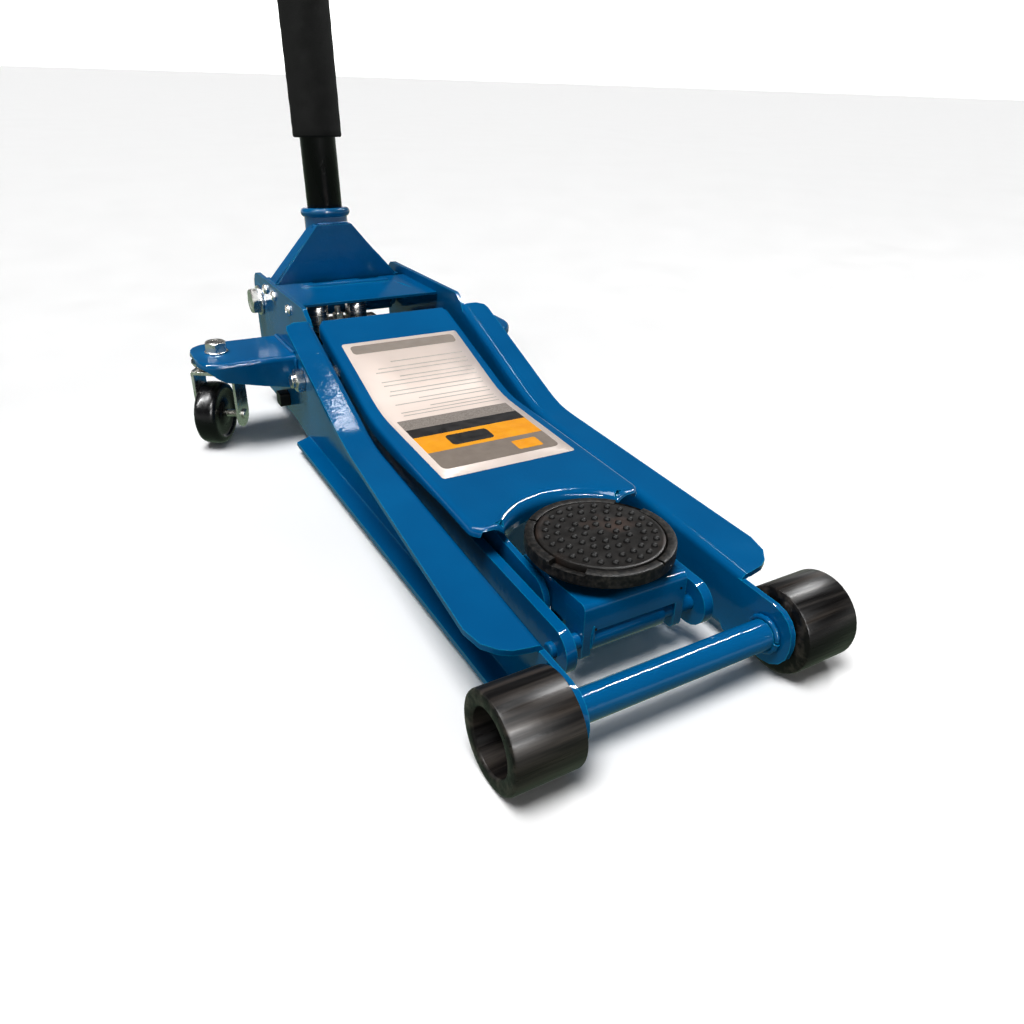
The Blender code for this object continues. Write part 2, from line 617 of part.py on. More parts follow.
def level_link(side):
    x = side * LINK_X
    start, end = Vector(LINK_PIN), Vector(LINK_ANCHOR)
    along = (end - start).normalized()
    neck = [yz(x, start + along * 0.006), yz(x, end - along * 0.007)]
    link = rod(side_name("level_link", side), *neck, 0.0038, ZINC, 12)
    reach = (x - LINK_HALF, x + LINK_HALF)
    front_eye = rod("eye", yz(reach[0], start), yz(reach[1], start), 0.0078, ZINC, 20)
    rear_eye = rod("eye", yz(reach[0], end), yz(reach[1], end), 0.0092, ZINC, 20)
    combine(link, [front_eye, rear_eye])
    cut(link, [hole(x - 0.01, x + 0.01, start, LINK_PIN_R + GAP, 20),
               hole(x - 0.01, x + 0.01, end, ANCHOR_R + GAP, 20)])
    place(link, LINKS)


def saddle():
    dish = [(0.0500, 0.0090), (0.0510, 0.0097), (CRADLE_TOP + 0.0005, 0.0097), (CRADLE_TOP + 0.0005, 0.0300),
            (0.0790, 0.0500), (0.0800, SADDLE_R), (SADDLE_TOP - 0.0008, SADDLE_R),
            (SADDLE_TOP, SADDLE_R - 0.0008), (SADDLE_TOP, 0.0487), (0.0845, 0.0483)]
    place(turned("saddle_dish", dish, RUBBER, segments=36), SADDLE, (0, SADDLE_Y, 0))
    pad = [(0.0848, 0.0479), (SADDLE_TOP, 0.0479), (0.0917, 0.0470)]
    place(turned("saddle_pad", pad, RUBBER, segments=36), SADDLE, (0, SADDLE_Y, 0))


def coil(name, start, end, radius, wire, turns, mat, steps=6, sides=4):
    """Closed wire wound round the line from start to end; radius is the coil's, wire the wire's own."""
    way = Vector(end) - Vector(start)
    frame = way.normalized().to_track_quat("Z", "Y").to_matrix()
    sections = []
    for k in range(turns * steps + 1):
        angle = 2 * math.pi * k / steps
        outward = frame @ Vector((math.cos(angle), math.sin(angle), 0))
        centre = Vector(start) + way * k / (turns * steps) + outward * radius
        upward = frame @ Vector((0, 0, 1))
        ring = []
        for s in range(sides):
            turn = 2 * math.pi * s / sides
            ring.append(centre + (outward * math.cos(turn) + upward * math.sin(turn)) * wire)
        sections.append(ring)
    return loft(name, sections, mat)


def return_spring(side):
    x = side * 0.0735
    ends = [(x, 0.300, 0.034), (x, 0.430, 0.050)]
    spring = coil(side_name("return_spring", side), *ends, 0.0055, 0.0012, 9, STEEL)
    place(spring, ARM)


# ---------------------------------------------------------------- hydraulics
def pump():
    body = block("pump_block", (-0.058, 0.640, 0.0231), (0.058, 0.702, 0.100), BLACK_STEEL, 0.003)
    barrels, bores = [], []
    for side in (-1, 1):
        x = PLUNGER_X[side]
        barrels.append(rod("barrel", (x, BARREL_Y, 0.095), (x, BARREL_Y, 0.139), 0.0130, STEEL, 24))
        bores.append(rod("bore", (x, 0.6418, PLUNGER_Z), (x, 0.675, PLUNGER_Z), 0.0073, STEEL))
    combine(body, barrels)
    place(cut(body, bores), JACK)
    screw = [(0.1003, 0.004), (0.1090, 0.004), (0.1090, 0.006, "hex"), (0.1180, 0.006, "hex"),
             (0.1180, 0.0035), (0.1260, 0.0035)]
    middle = (PLUNGER_X[-1] + PLUNGER_X[1]) / 2
    place(turned("relief_screw", screw, ZINC, (middle, 0.648, 0), segments=12), JACK)
    cylinder = [(0.630, 0.0113), (0.581, 0.0113), (0.581, 0.0160), (0.588, 0.0160), (0.588, 0.0215),
                (0.590, 0.0230), (0.6397, 0.0230)]
    place(turned("ram_cylinder", cylinder, BLUE, (0, 0, RAM_Z), (0, 1, 0)), JACK)
    piston = [(0.5643, 0.0125), (0.5650, 0.0130), (0.5700, 0.0130), (0.5710, 0.0110), (0.6290, 0.0110)]
    place(turned("ram_piston", piston, STEEL, (0, 0, RAM_Z), (0, 1, 0), 20), RAM)
    valve = [(0.7023, 0.0050), (0.7060, 0.0050), (0.7060, 0.0070, "hex"), (0.7130, 0.0070, "hex"),
             (0.7140, 0.006)]
    place(turned("release_valve", valve, ZINC, (0, 0, 0.062), (0, 1, 0), 12), VALVE)


def plunger(side):
    stem = [(0.6585, 0.0065), (0.6592, 0.0070), (0.6765, 0.0070), (0.6772, 0.0062)]
    at = (PLUNGER_X[side], 0, PLUNGER_Z)
    place(turned(side_name("pump_plunger", side), stem, STEEL, at, (0, 1, 0), 16), PLUNGERS)


# ---------------------------------------------------------------- handle
def on_handle(distance):
    """Point on the handle's axis, measured up from the top of the socket."""
    return Vector((0, SOCKET_TOP[0] + distance * math.sin(HANDLE_LEAN),
                   SOCKET_TOP[1] + distance * math.cos(HANDLE_LEAN)))


HANDLE_WAY = Vector((0, math.sin(HANDLE_LEAN), math.cos(HANDLE_LEAN)))


def handle_yoke():
    """Welded yoke: round socket, triangular front plate, slanted sides, ears and the presser bar."""
    socket = [(-0.062, 0.0255), (-0.010, 0.0255), (-0.0085, 0.0280), (-0.005, 0.0292), (-0.001, 0.0280),
              (0, 0.0255)]
    yoke = turned("handle_yoke", socket, BLUE, on_handle(0), HANDLE_WAY, 24)
    plate = [(-0.077, 0.146), (0.077, 0.146), (0.077, 0.1530), (0.0212, 0.220), (-0.0212, 0.220),
             (-0.077, 0.1530)]
    front = prism("front", plate, 0.6590, 0.6640, BLUE, "Y")
    pieces = [front]
    ear = lobe(YOKE_PIVOT, 0.0220, 180, 360, 10) + [(0.6960, 0.1570), (0.6595, 0.1570)]
    for side in (-1, 1):
        slope = [(side * x, z) for x, z in ((0.0208, 0.2195), (0.0788, 0.1549), (0.0752, 0.1513),
                                            (0.0172, 0.2159))]
        pieces.append(prism("slope", slope, 0.6620, 0.6850, BLUE, "Y"))
        pieces.append(prism("ear", ear, *sorted((side * 0.0745, side * 0.0795)), BLUE))
    pieces.append(rod("presser", yz(-0.077, PRESSER), yz(0.077, PRESSER), 0.0070, BLUE))
    combine(yoke, pieces)
    bore = rod("bore", on_handle(-0.10), on_handle(0.02), HANDLE_TUBE_R + 2 * GAP, BLUE, 24)
    pivots = hole(-0.1, 0.1, YOKE_PIVOT, YOKE_BOLT_R + GAP)
    place(cut(yoke, [bore, pivots]), YOKE)


def tube(name, low, high, outer, bore, mat, edge=0.001):
    """Round tube on the handle's axis, with broken outer edges."""
    profile = [(low, bore), (low, outer - edge), (low + edge, outer), (high - edge, outer),
               (high, outer - edge), (high, bore)]
    place(turned(name, profile, mat, on_handle(0), HANDLE_WAY, hollow=True), HANDLE)


def handle():
    tube("handle_lower_tube", -0.062, 0.520, HANDLE_TUBE_R, 0.0176, BLACK_TUBE)
    tube("handle_sleeve", 0.0767, 0.400, SLEEVE_R, 0.0209, FOAM, 0.002)
    tube("handle_upper_tube", 0.440, 1.034, 0.0173, 0.0145, BLACK_TUBE)
    grip = [(1.036, 0.0177), (0.880, 0.0177), (0.880, GRIP_R - 0.001), (0.881, GRIP_R), (HANDLE_TOP, GRIP_R)]
    place(turned("handle_grip", grip, RUBBER, on_handle(0), HANDLE_WAY), HANDLE)


# ---------------------------------------------------------------- assembly
ARM = pivot("arm_axis", yz(0, ARM_PIVOT), JACK)
CRADLE = pivot("cradle_axis", yz(0, CRADLE_PIN), ARM)
SADDLE = pivot("saddle_axis", (0, SADDLE_Y, CRADLE_TOP), CRADLE)
LINKS = pivot("link_axis", yz(0, LINK_ANCHOR), JACK)
RAM = pivot("ram_axis", (0, 0.581, RAM_Z), JACK)
YOKE = pivot("yoke_axis", yz(0, YOKE_PIVOT), JACK)
HANDLE = pivot("handle_axis", on_handle(0), YOKE)
PLUNGERS = pivot("plunger_axis", (0, 0.656, PLUNGER_Z), JACK)
VALVE = pivot("valve_axis", (0, 0.702, 0.062), JACK)
PIVOTS = {}

for SIDE in (-1, 1):
    SWIVEL = pivot(side_name("caster_swivel_axis", SIDE), (SIDE * CASTER_X, CASTER_Y, CASTER_R), JACK)
    TRAIL = Matrix.Rotation(SIDE * CASTER_TURN, 3, "Z") @ Vector((0, -CASTER_TRAIL, 0))
    SPIN = pivot(side_name("caster_wheel_axis", SIDE), PIVOT_AT[SWIVEL.name] + TRAIL, SWIVEL)
    HUB = pivot(side_name("front_wheel_axis", SIDE), yz(SIDE * WHEEL_IN, (0, WHEEL_R)), JACK)
    PIVOTS.update({empty.name: empty for empty in (SWIVEL, SPIN, HUB)})
    side_plate(SIDE)
    bracket(SIDE)
    frame_fasteners(SIDE)
    front_wheel(SIDE)
    caster(SIDE)
    arm_plate(SIDE)
    arm_inner_plate(SIDE)
    level_link(SIDE)
    return_spring(SIDE)
    plunger(SIDE)

cross_members()
front_axle()
arm_bars()
cover_plate()
cradle()
saddle()
pump()
handle_yoke()
handle()
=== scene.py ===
"""Looks for the low-profile trolley jack: finishes, finely shaped pieces, light and camera round the CAD."""

import math
import random

import bmesh
import bpy
from mathutils import Matrix, Vector
from mathutils.geometry import delaunay_2d_cdt


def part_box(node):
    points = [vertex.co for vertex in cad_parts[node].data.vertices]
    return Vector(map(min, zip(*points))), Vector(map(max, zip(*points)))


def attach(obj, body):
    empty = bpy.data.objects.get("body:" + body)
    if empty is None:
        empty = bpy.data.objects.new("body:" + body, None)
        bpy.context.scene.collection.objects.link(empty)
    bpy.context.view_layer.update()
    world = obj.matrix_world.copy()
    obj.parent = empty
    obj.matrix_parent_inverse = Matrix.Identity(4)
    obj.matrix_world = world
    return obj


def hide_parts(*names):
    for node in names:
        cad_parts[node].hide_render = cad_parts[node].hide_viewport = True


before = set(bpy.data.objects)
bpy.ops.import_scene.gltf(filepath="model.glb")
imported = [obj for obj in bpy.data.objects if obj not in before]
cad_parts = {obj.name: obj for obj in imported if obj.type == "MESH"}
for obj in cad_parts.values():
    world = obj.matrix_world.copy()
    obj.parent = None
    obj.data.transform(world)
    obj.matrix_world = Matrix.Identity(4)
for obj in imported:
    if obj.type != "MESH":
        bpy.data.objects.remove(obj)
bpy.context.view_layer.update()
RNG = random.Random(7)

WHEEL_LOW, WHEEL_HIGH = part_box("front_wheel_left")
MID = -(WHEEL_LOW.y + WHEEL_HIGH.y) / 2          # the front axle is y = 0 in the jack's own coordinates
WHEEL_R = WHEEL_HIGH.z / 2


def at(x, y, z):
    """A point given in the jack's coordinates: y back from the front axle, z up from the floor."""
    return Vector((x, y - MID, z))


def side_of(side):
    return "left" if side < 0 else "right"


# ---------------------------------------------------------------- finishes
# Node types with the plain prefix; every other type that a finish asks for is a texture.
PLAIN_NODES = {"TexCoord", "Mapping", "ValToRGB", "MapRange", "Mix", "Bump", "Bevel", "NewGeometry",
               "VectorMath"}


class Nodes:
    """Small helper round one material's node tree."""

    def __init__(self, name):
        self.mat = bpy.data.materials.new(name)
        self.mat.use_nodes = True
        self.tree = self.mat.node_tree
        self.shader = self.tree.nodes["Principled BSDF"]
        self.place = self.add("TexCoord").outputs["Object"]

    def add(self, kind, **values):
        prefix = "ShaderNode" if kind in PLAIN_NODES else "ShaderNodeTex"
        node = self.tree.nodes.new(prefix + kind)
        for key, value in values.items():
            if hasattr(node, key):
                setattr(node, key, value)
            else:
                node.inputs[key.replace("_", " ").title()].default_value = value
        return node

    def link(self, out, into):
        self.tree.links.new(out, into)

    def noise(self, scale, detail=3.0, stretch=(1, 1, 1), roughness=0.55):
        mapping = self.add("Mapping")
        mapping.inputs["Scale"].default_value = stretch
        self.link(self.place, mapping.inputs["Vector"])
        tex = self.add("Noise", scale=scale, detail=detail, roughness=roughness)
        self.link(mapping.outputs[0], tex.inputs["Vector"])
        return tex.outputs["Fac"]

    def ramp(self, fac, stops):
        node = self.add("ValToRGB")
        elements = node.color_ramp.elements
        while len(elements) < len(stops):
            elements.new(0.5)
        for element, (position, color) in zip(elements, stops):
            element.position = position
            element.color = (*color, 1.0)
        self.link(fac, node.inputs["Fac"])
        return node.outputs["Color"]

    def spread(self, fac, low, high, start=0.3, end=0.7):
        node = self.add("MapRange")
        for key, value in (("From Min", start), ("From Max", end), ("To Min", low), ("To Max", high)):
            node.inputs[key].default_value = value
        self.link(fac, node.inputs["Value"])
        return node.outputs["Result"]

    def mix(self, fac, first, second):
        node = self.add("Mix", data_type="RGBA", blend_type="MIX")
        for value, key, kind in ((fac, "Factor", "VALUE"), (first, "A", "RGBA"), (second, "B", "RGBA")):
            socket = next(s for s in node.inputs if s.name == key and s.type == kind)
            if isinstance(value, (int, float)):
                socket.default_value = value
            elif isinstance(value, tuple):
                socket.default_value = (*value, 1.0)
            else:
                self.link(value, socket)
        return next(s for s in node.outputs if s.type == "RGBA")

    def bumps(self, layers):
        """Layers of (height output, strength, distance in metres), one on top of another."""
        normal = None
        for height, strength, distance in layers:
            node = self.add("Bump")
            node.inputs["Strength"].default_value = strength
            node.inputs["Distance"].default_value = distance
            self.link(height, node.inputs["Height"])
            if normal:
                self.link(normal, node.inputs["Normal"])
            normal = node.outputs["Normal"]
        self.link(normal, self.shader.inputs["Normal"])

    def edges(self, radius, start, end):
        """1 along outer edges that are tighter than radius, 0 on open surfaces."""
        bevel = self.add("Bevel", samples=4)
        bevel.inputs["Radius"].default_value = radius
        plain = self.add("NewGeometry")
        dot = self.add("VectorMath", operation="DOT_PRODUCT")
        self.link(bevel.outputs[0], dot.inputs[0])
        self.link(plain.outputs["Normal"], dot.inputs[1])
        return self.spread(dot.outputs["Value"], 0.0, 1.0, start, end)

    def finish(self, color, rough, **constants):
        self.link(color, self.shader.inputs["Base Color"])
        self.link(rough, self.shader.inputs["Roughness"])
        for key, value in constants.items():
            self.shader.inputs[key.replace("_", " ").title().replace("Ior", "IOR")].default_value = value
        return self.mat


def paint():
    n = Nodes("blue_paint_gloss")
    tone = n.ramp(n.noise(11, 2), [(0.3, (0.0, 0.124, 0.312)), (0.7, (0.0, 0.150, 0.362))])
    # Painted highlight: a lighter cyan is mixed in along tight edges and bends, standing in for lamp
    # highlights on the rounded edges.
    edge = n.edges(0.0016, 0.975, 0.75)
    tone = n.mix(edge, tone, (0.006, 0.33, 0.55))
    rough = n.spread(n.noise(45, 4), 0.05, 0.11)
    n.bumps([(n.noise(75, 3), 0.32, 0.0007), (n.noise(360, 2), 0.26, 0.0004)])
    return n.finish(tone, rough, specular_ior_level=0.30)


def metal(name, dark, light, low, high, scale=60, stretch=(1, 1, 1), bump=0.08):
    n = Nodes(name)
    tone = n.ramp(n.noise(scale, 4, stretch), [(0.3, dark), (0.72, light)])
    rough = n.spread(n.noise(scale * 1.7, 3, stretch), low, high)
    n.bumps([(n.noise(scale * 9, 3, stretch), bump, 0.0002)])
    return n.finish(tone, rough, metallic=1.0)


def dull(name, dark, light, low, high, scale, bumps, stretch=(1, 1, 1), steps=(0.32, 0.7), **constants):
    n = Nodes(name)
    tone = n.ramp(n.noise(scale, 4, stretch), [(steps[0], dark), (steps[1], light)])
    rough = n.spread(n.noise(scale * 2.3, 3, stretch), low, high)
    n.bumps([(n.noise(size, detail), strength, depth) for size, detail, strength, depth in bumps])
    return n.finish(tone, rough, **constants)


def pad_rubber():
    n = Nodes("pad_rubber")
    base = n.ramp(n.noise(140, 4), [(0.3, (0.007, 0.0062, 0.0056)), (0.7, (0.022, 0.019, 0.017))])
    dust = n.ramp(n.noise(17, 3), [(0.52, (0, 0, 0)), (0.66, (1, 1, 1))])
    tone = n.mix(dust, base, (0.074, 0.046, 0.035))
    rough = n.spread(n.noise(90, 3), 0.34, 0.50)
    n.bumps([(n.noise(700, 4), 0.30, 0.0003)])
    return n.finish(tone, rough, specular_ior_level=0.20)


def foam():
    n = Nodes("foam_rubber")
    cells = n.add("Voronoi", scale=900)
    n.link(n.place, cells.inputs["Vector"])
    tone = n.ramp(n.noise(30, 4), [(0.3, (0.0015, 0.0018, 0.0015)), (0.7, (0.0045, 0.005, 0.0042))])
    rough = n.spread(n.noise(60, 3), 0.82, 0.95)
    n.bumps([(cells.outputs["Distance"], 0.35, 0.0004), (n.noise(120, 4), 0.25, 0.0006)])
    return n.finish(tone, rough, specular_ior_level=0.18)


PAINT = paint()
FINISH = {
    "blue_paint": PAINT,
    "zinc_plate": metal("zinc_plated", (0.56, 0.55, 0.52), (0.72, 0.71, 0.68), 0.20, 0.34, 70),
    "bright_steel": metal("bright_steel_ground", (0.30, 0.29, 0.28), (0.66, 0.64, 0.61), 0.16, 0.32, 60,
                          (1, 1, 6)),
    # Painted highlight: the lighter brown streaks stretched along the wheel's axis stand in for a streaked
    # sheen of light on the steel.
    "black_wheel": dull("black_wheel_steel", (0.006, 0.005, 0.005), (0.085, 0.070, 0.060), 0.24, 0.46, 120,
                        [(500, 3, 0.20, 0.0002), (60, 2, 0.08, 0.0005)], (0.05, 1, 1), (0.46, 0.72),
                        specular_ior_level=0.24),
    "black_rubber": dull("black_cast", (0.002, 0.002, 0.002), (0.008, 0.0075, 0.0075), 0.34, 0.50, 90,
                         [(650, 4, 0.30, 0.0003)], specular_ior_level=0.22),
    "foam_sleeve": foam(),
    "black_tube": dull("black_satin_tube", (0.0006, 0.0006, 0.0006), (0.002, 0.002, 0.002), 0.22, 0.34, 40,
                       [(600, 3, 0.12, 0.0002)], (1, 1, 0.3), specular_ior_level=0.22),
    "caster_nylon": dull("caster_nylon_moulded", (0.003, 0.003, 0.004), (0.009, 0.009, 0.011), 0.20, 0.34, 50,
                         [(420, 3, 0.12, 0.0003)], specular_ior_level=0.35),
    "label": dull("label_paper", (0.90, 0.775, 0.70), (0.925, 0.80, 0.725), 0.34, 0.46, 25,
                  [(300, 3, 0.03, 0.0001)], coat_weight=0.12, coat_roughness=0.2),
}
SPRING = metal("spring_steel", (0.10, 0.098, 0.095), (0.24, 0.23, 0.22), 0.30, 0.44, 60)
PAD = pad_rubber()
STUD = dull("stud_rubber", (0.0015, 0.0015, 0.0015), (0.005, 0.0045, 0.004), 0.50, 0.62, 120,
            [(700, 3, 0.25, 0.0002)], specular_ior_level=0.22)
CAST = dull("saddle_cast", (0.003, 0.003, 0.003), (0.050, 0.043, 0.037), 0.34, 0.55, 240,
            [(330, 4, 0.50, 0.0006), (60, 2, 0.20, 0.0008)], (1, 1, 1), (0.44, 0.72), specular_ior_level=0.2)


def ink(name, dark, light, scale=60):
    return dull(name, dark, light, 0.32, 0.46, scale, [(400, 2, 0.04, 0.0001)], coat_weight=0.12,
                coat_roughness=0.2)


INKS = {
    "orange": ink("print_orange", (0.93, 0.38, 0.0), (1.0, 0.46, 0.005)),
    "black": ink("print_black", (0.012, 0.011, 0.011), (0.030, 0.026, 0.024)),
    "grey": ink("print_grey", (0.26, 0.215, 0.18), (0.30, 0.25, 0.21), 90),
    "rule": ink("print_rule", (0.46, 0.41, 0.37), (0.56, 0.50, 0.46)),
    "mottle": ink("print_mottle", (0.20, 0.175, 0.155), (0.44, 0.39, 0.35), 900),
}

# Bevel widths, in metres, of the CAD nodes that stay visible
EASED = {"side_plate": 0.0008, "caster_bracket": 0.0008, "arm_plate": 0.0012, "arm_inner_plate": 0.0010,
         "handle_yoke": 0.0010, "rear_tie_plate": 0.0008, "caster_fork": 0.0006, "arm_pivot_bolt": 0.0005,
         "frame_plug": 0.0010, "ram_cylinder": 0.0010, "release_valve": 0.0004, "level_link": 0.0004,
         "axle_clip": 0.0003, "cradle_pin": 0.0003}


def dress(node_name, node):
    """Gives a CAD node its finish, and eases its sharp edges with modifiers."""
    for entry in node.material_slots:
        entry.material = FINISH[entry.material.name.split(".")[0]]
    ease = EASED.get(node_name.replace("_left", "").replace("_right", ""))
    if ease:
        node.modifiers.new("weld", "WELD").merge_threshold = 2e-6
        edges = node.modifiers.new("edges", "BEVEL")
        edges.width = ease
        edges.segments = 2
        edges.limit_method = "ANGLE"
        edges.angle_limit = math.radians(38)
        edges.use_clamp_overlap = True
        edges.harden_normals = False
        node.modifiers.new("normals", "WEIGHTED_NORMAL").keep_sharp = False


for NODE_NAME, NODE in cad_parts.items():
    dress(NODE_NAME, NODE)


# ---------------------------------------------------------------- shaping
def piece(name, bm, body, slot, mats=None, replaces=(), sharp=35, bevel=0.0, segments=2, thickness=0.0):
    """Makes an object from bm that rides on body; bevel and thickness are in metres, sharp in degrees."""
    bmesh.ops.remove_doubles(bm, verts=bm.verts, dist=1e-6)
    if not thickness:
        bmesh.ops.recalc_face_normals(bm, faces=bm.faces)
    mesh = bpy.data.meshes.new(name)
    bm.to_mesh(mesh)
    bm.free()
    for mat in mats or [FINISH[slot]]:
        mesh.materials.append(mat)
    mesh.shade_smooth()
    mesh.set_sharp_from_angle(angle=math.radians(sharp))
    obj = bpy.data.objects.new(name, mesh)
    bpy.context.scene.collection.objects.link(obj)
    if thickness:
        solid = obj.modifiers.new("thickness", "SOLIDIFY")
        solid.thickness = thickness
        solid.offset = -1
        solid.use_even_offset = False
    if bevel:
        soften(obj, bevel, segments)
    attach(obj, body)
    if replaces:
        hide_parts(*replaces)
    return obj


def soften(obj, width, segments=2, angle=40):
    bevel = obj.modifiers.new("edges", "BEVEL")
    bevel.width = width
    bevel.segments = segments
    bevel.limit_method = "ANGLE"
    bevel.angle_limit = math.radians(angle)
    bevel.harden_normals = True
    bevel.use_clamp_overlap = True
    return obj


def frame_to(direction):
    return Vector(direction).normalized().to_track_quat("Z", "Y").to_matrix().to_4x4()


def lathe(bm, profile, start, direction, segments=64, closed=False, columns=None):
    """Turns profile (along, radius) about direction. closed joins last to first; else the ends get caps."""
    turn = Matrix.Translation(start) @ frame_to(direction)
    angles = columns or [2 * math.pi * k / segments for k in range(segments)]
    rings = []
    for along, radius in profile:
        rings.append([bm.verts.new(turn @ Vector((radius * math.cos(a), radius * math.sin(a), along)))
                      for a in angles])
    pairs = list(zip(rings, rings[1:])) + ([(rings[-1], rings[0])] if closed else [])
    for low, high in pairs:
        for k in range(len(angles)):
            j = (k + 1) % len(angles)
            bm.faces.new((low[k], low[j], high[j], high[k]))
    if not closed:
        bm.faces.new(rings[0])
        bm.faces.new(rings[-1])
    return bm


def turned(name, profile, start, direction, body, slot, segments=64, closed=False, **more):
    return piece(name, lathe(bmesh.new(), profile, start, direction, segments, closed), body, slot, **more)


def hexagon(bm, low, high, apothem, start, direction, spin=0.0):
    """Hexagonal head with chamfered corners and a slightly dished end, from low to high along direction."""
    turn = frame_to(direction).to_3x3()
    sides = 48
    rings = [[] for _ in range(5)]
    for k in range(sides):
        angle = math.radians(360 / sides * k)
        around = angle % math.radians(60) - math.radians(30)
        r = apothem / math.cos(around)
        shoulder = high - 0.0002 - (r - apothem * 0.97) * 0.6
        spots = ((low, r), (shoulder, r), (high, apothem * 0.95), (high, apothem * 0.62),
                 (high - 0.0004, apothem * 0.55))
        for ring, (along, radius) in zip(rings, spots):
            local = Vector((radius * math.cos(angle + spin), radius * math.sin(angle + spin), along))
            ring.append(bm.verts.new(Vector(start) + turn @ local))
    for one, two in zip(rings, rings[1:]):
        for k in range(sides):
            j = (k + 1) % sides
            bm.faces.new((one[k], one[j], two[j], two[k]))
    bm.faces.new(rings[0])
    bm.faces.new(rings[-1])
    return bm


def prism(bm, outline, low, high, axis="X"):
    """Flat outline pushed out between low and high along axis; the outline is in the jack's coordinates."""
    orders = {"X": lambda u, v, w: at(w, u, v), "Y": lambda u, v, w: at(u, w, v),
              "Z": lambda u, v, w: at(u, v, w)}
    order = orders[axis]
    ends = [[bm.verts.new(order(u, v, w)) for u, v in outline] for w in (low, high)]
    for end in ends:
        bm.faces.new(end)
    for i in range(len(outline)):
        j = (i + 1) % len(outline)
        bm.faces.new((ends[0][i], ends[0][j], ends[1][j], ends[1][i]))
    return bm


def arc(centre, radius, start, end, steps=10):
    angles = [math.radians(start + (end - start) * k / steps) for k in range(steps + 1)]
    return [(centre[0] + radius * math.cos(a), centre[1] + radius * math.sin(a)) for a in angles]


def resample(points, step):
    """The same closed outline with points no further apart than step."""
    out = []
    for a, b in zip(points, points[1:] + points[:1]):
        a, b = Vector(a), Vector(b)
        count = max(1, math.ceil((b - a).length / step))
        out += [tuple(a.lerp(b, k / count)) for k in range(count)]
    return out


def formed_sheet(bm, outline, profile_at, height, grid):
    """A formed plate's top face: rings step in from the outline, and a grid fills the rest.

    profile_at(x, y) gives a list of (inset, drop); height(x, y) is the face's height; grid is
    (x step, list of y)."""
    count = len(outline)
    inward = []
    for i, point in enumerate(outline):
        along = Vector(outline[(i + 1) % count]) - Vector(outline[i - 1])
        inward.append(Vector((-along.y, along.x)).normalized())
    rings = []
    for i, point in enumerate(outline):
        column = []
        for inset, drop in profile_at(*point):
            spot = Vector(point) + inward[i] * inset
            column.append((spot, drop))
        rings.append(column)
    verts = [[bm.verts.new(at(p.x, p.y, height(p.x, p.y) - drop)) for p, drop in column] for column in rings]
    for i in range(count):
        j = (i + 1) % count
        for k in range(len(verts[i]) - 1):
            bm.faces.new((verts[i][k], verts[j][k], verts[j][k + 1], verts[i][k + 1]))
    inner = [column[-1][0] for column in rings]
    xs = [p.x for p in inner]
    step, ys = grid
    inside = []
    for y in ys:
        x = min(xs)
        while x <= max(xs):
            if within((x, y), inner, step * 0.35):
                inside.append(Vector((x, y)))
            x += step
    edges = [(i, (i + 1) % count) for i in range(count)]
    points, _, faces, origins, _, _ = delaunay_2d_cdt(inner + inside, edges, [], 1, 1e-7)
    fill = []
    for p, source in zip(points, origins):
        ring = [s for s in source if s < count]
        fill.append(verts[ring[0]][-1] if ring else bm.verts.new(at(p.x, p.y, height(p.x, p.y))))
    for face in faces:
        bm.faces.new([fill[i] for i in face])
    return bm


def within(point, polygon, margin):
    x, y = point
    odd = False
    for a, b in zip(polygon, polygon[1:] + polygon[:1]):
        if (a[1] > y) != (b[1] > y) and x < (b[0] - a[0]) * (y - a[1]) / (b[1] - a[1]) + a[0]:
            odd = not odd
        way = Vector((b[0] - a[0], b[1] - a[1]))
        t = min(max((Vector(point) - Vector(a[:2])).dot(way) / max(way.length_squared, 1e-12), 0), 1)
        if (Vector(a[:2]) + way * t - Vector(point)).length < margin:
            return False
    return odd


# ---------------------------------------------------------------- cover plate and its label
COVER_FRONT, COVER_KINK, COVER_REAR = (0.143, 0.087), (0.360, 0.097), (0.510, 0.151)
COVER_HALF_FRONT, COVER_HALF_REAR = 0.0785, 0.0755
SADDLE_Y, NOTCH_R, LIP_REACH = 0.094, 0.072, 0.0085


def cover_height(y, reach=0.022):
    lead = (COVER_KINK[1] - COVER_FRONT[1]) / (COVER_KINK[0] - COVER_FRONT[0])
    trail = (COVER_REAR[1] - COVER_KINK[1]) / (COVER_REAR[0] - COVER_KINK[0])
    along = y - COVER_KINK[0]
    if abs(along) >= reach:
        return COVER_KINK[1] + (lead if along < 0 else trail) * along
    return COVER_KINK[1] + lead * along + (trail - lead) * (along + reach) ** 2 / (4 * reach)


def drawn_height(x, y):
    """The cover's face, which dips smoothly towards the wall drawn down round the saddle."""
    inward = math.hypot(x, y - SADDLE_Y) - NOTCH_R
    dip = 0.0060 * (1 - min(max(inward, 0) / LIP_REACH, 1)) ** 2
    return cover_height(y) - dip


def cover_outline():
    """Plan outline, anticlockwise seen from above, with rounded horns beside the saddle notch."""
    horn_r, nose_r = 0.012, 0.0025
    nose_y = COVER_FRONT[0] + nose_r
    nose_x = math.sqrt((NOTCH_R + nose_r) ** 2 - (nose_y - SADDLE_Y) ** 2)
    open_angle = math.degrees(math.atan2(nose_y - SADDLE_Y, nose_x))
    front, rear = COVER_HALF_FRONT, COVER_HALF_REAR
    right = arc((nose_x, nose_y), nose_r, 180 + open_angle, 270, 8)
    right += arc((front - horn_r, COVER_FRONT[0] + horn_r), horn_r, 270, 360, 12)
    right += arc((rear - 0.008, COVER_REAR[0] - 0.008), 0.008, 0, 90, 8)
    left = [(-x, y) for x, y in reversed(right)]
    notch = arc((0, SADDLE_Y), NOTCH_R, 180 - open_angle, open_angle, 60)[1:-1]
    return resample(right + left + notch, 0.006)


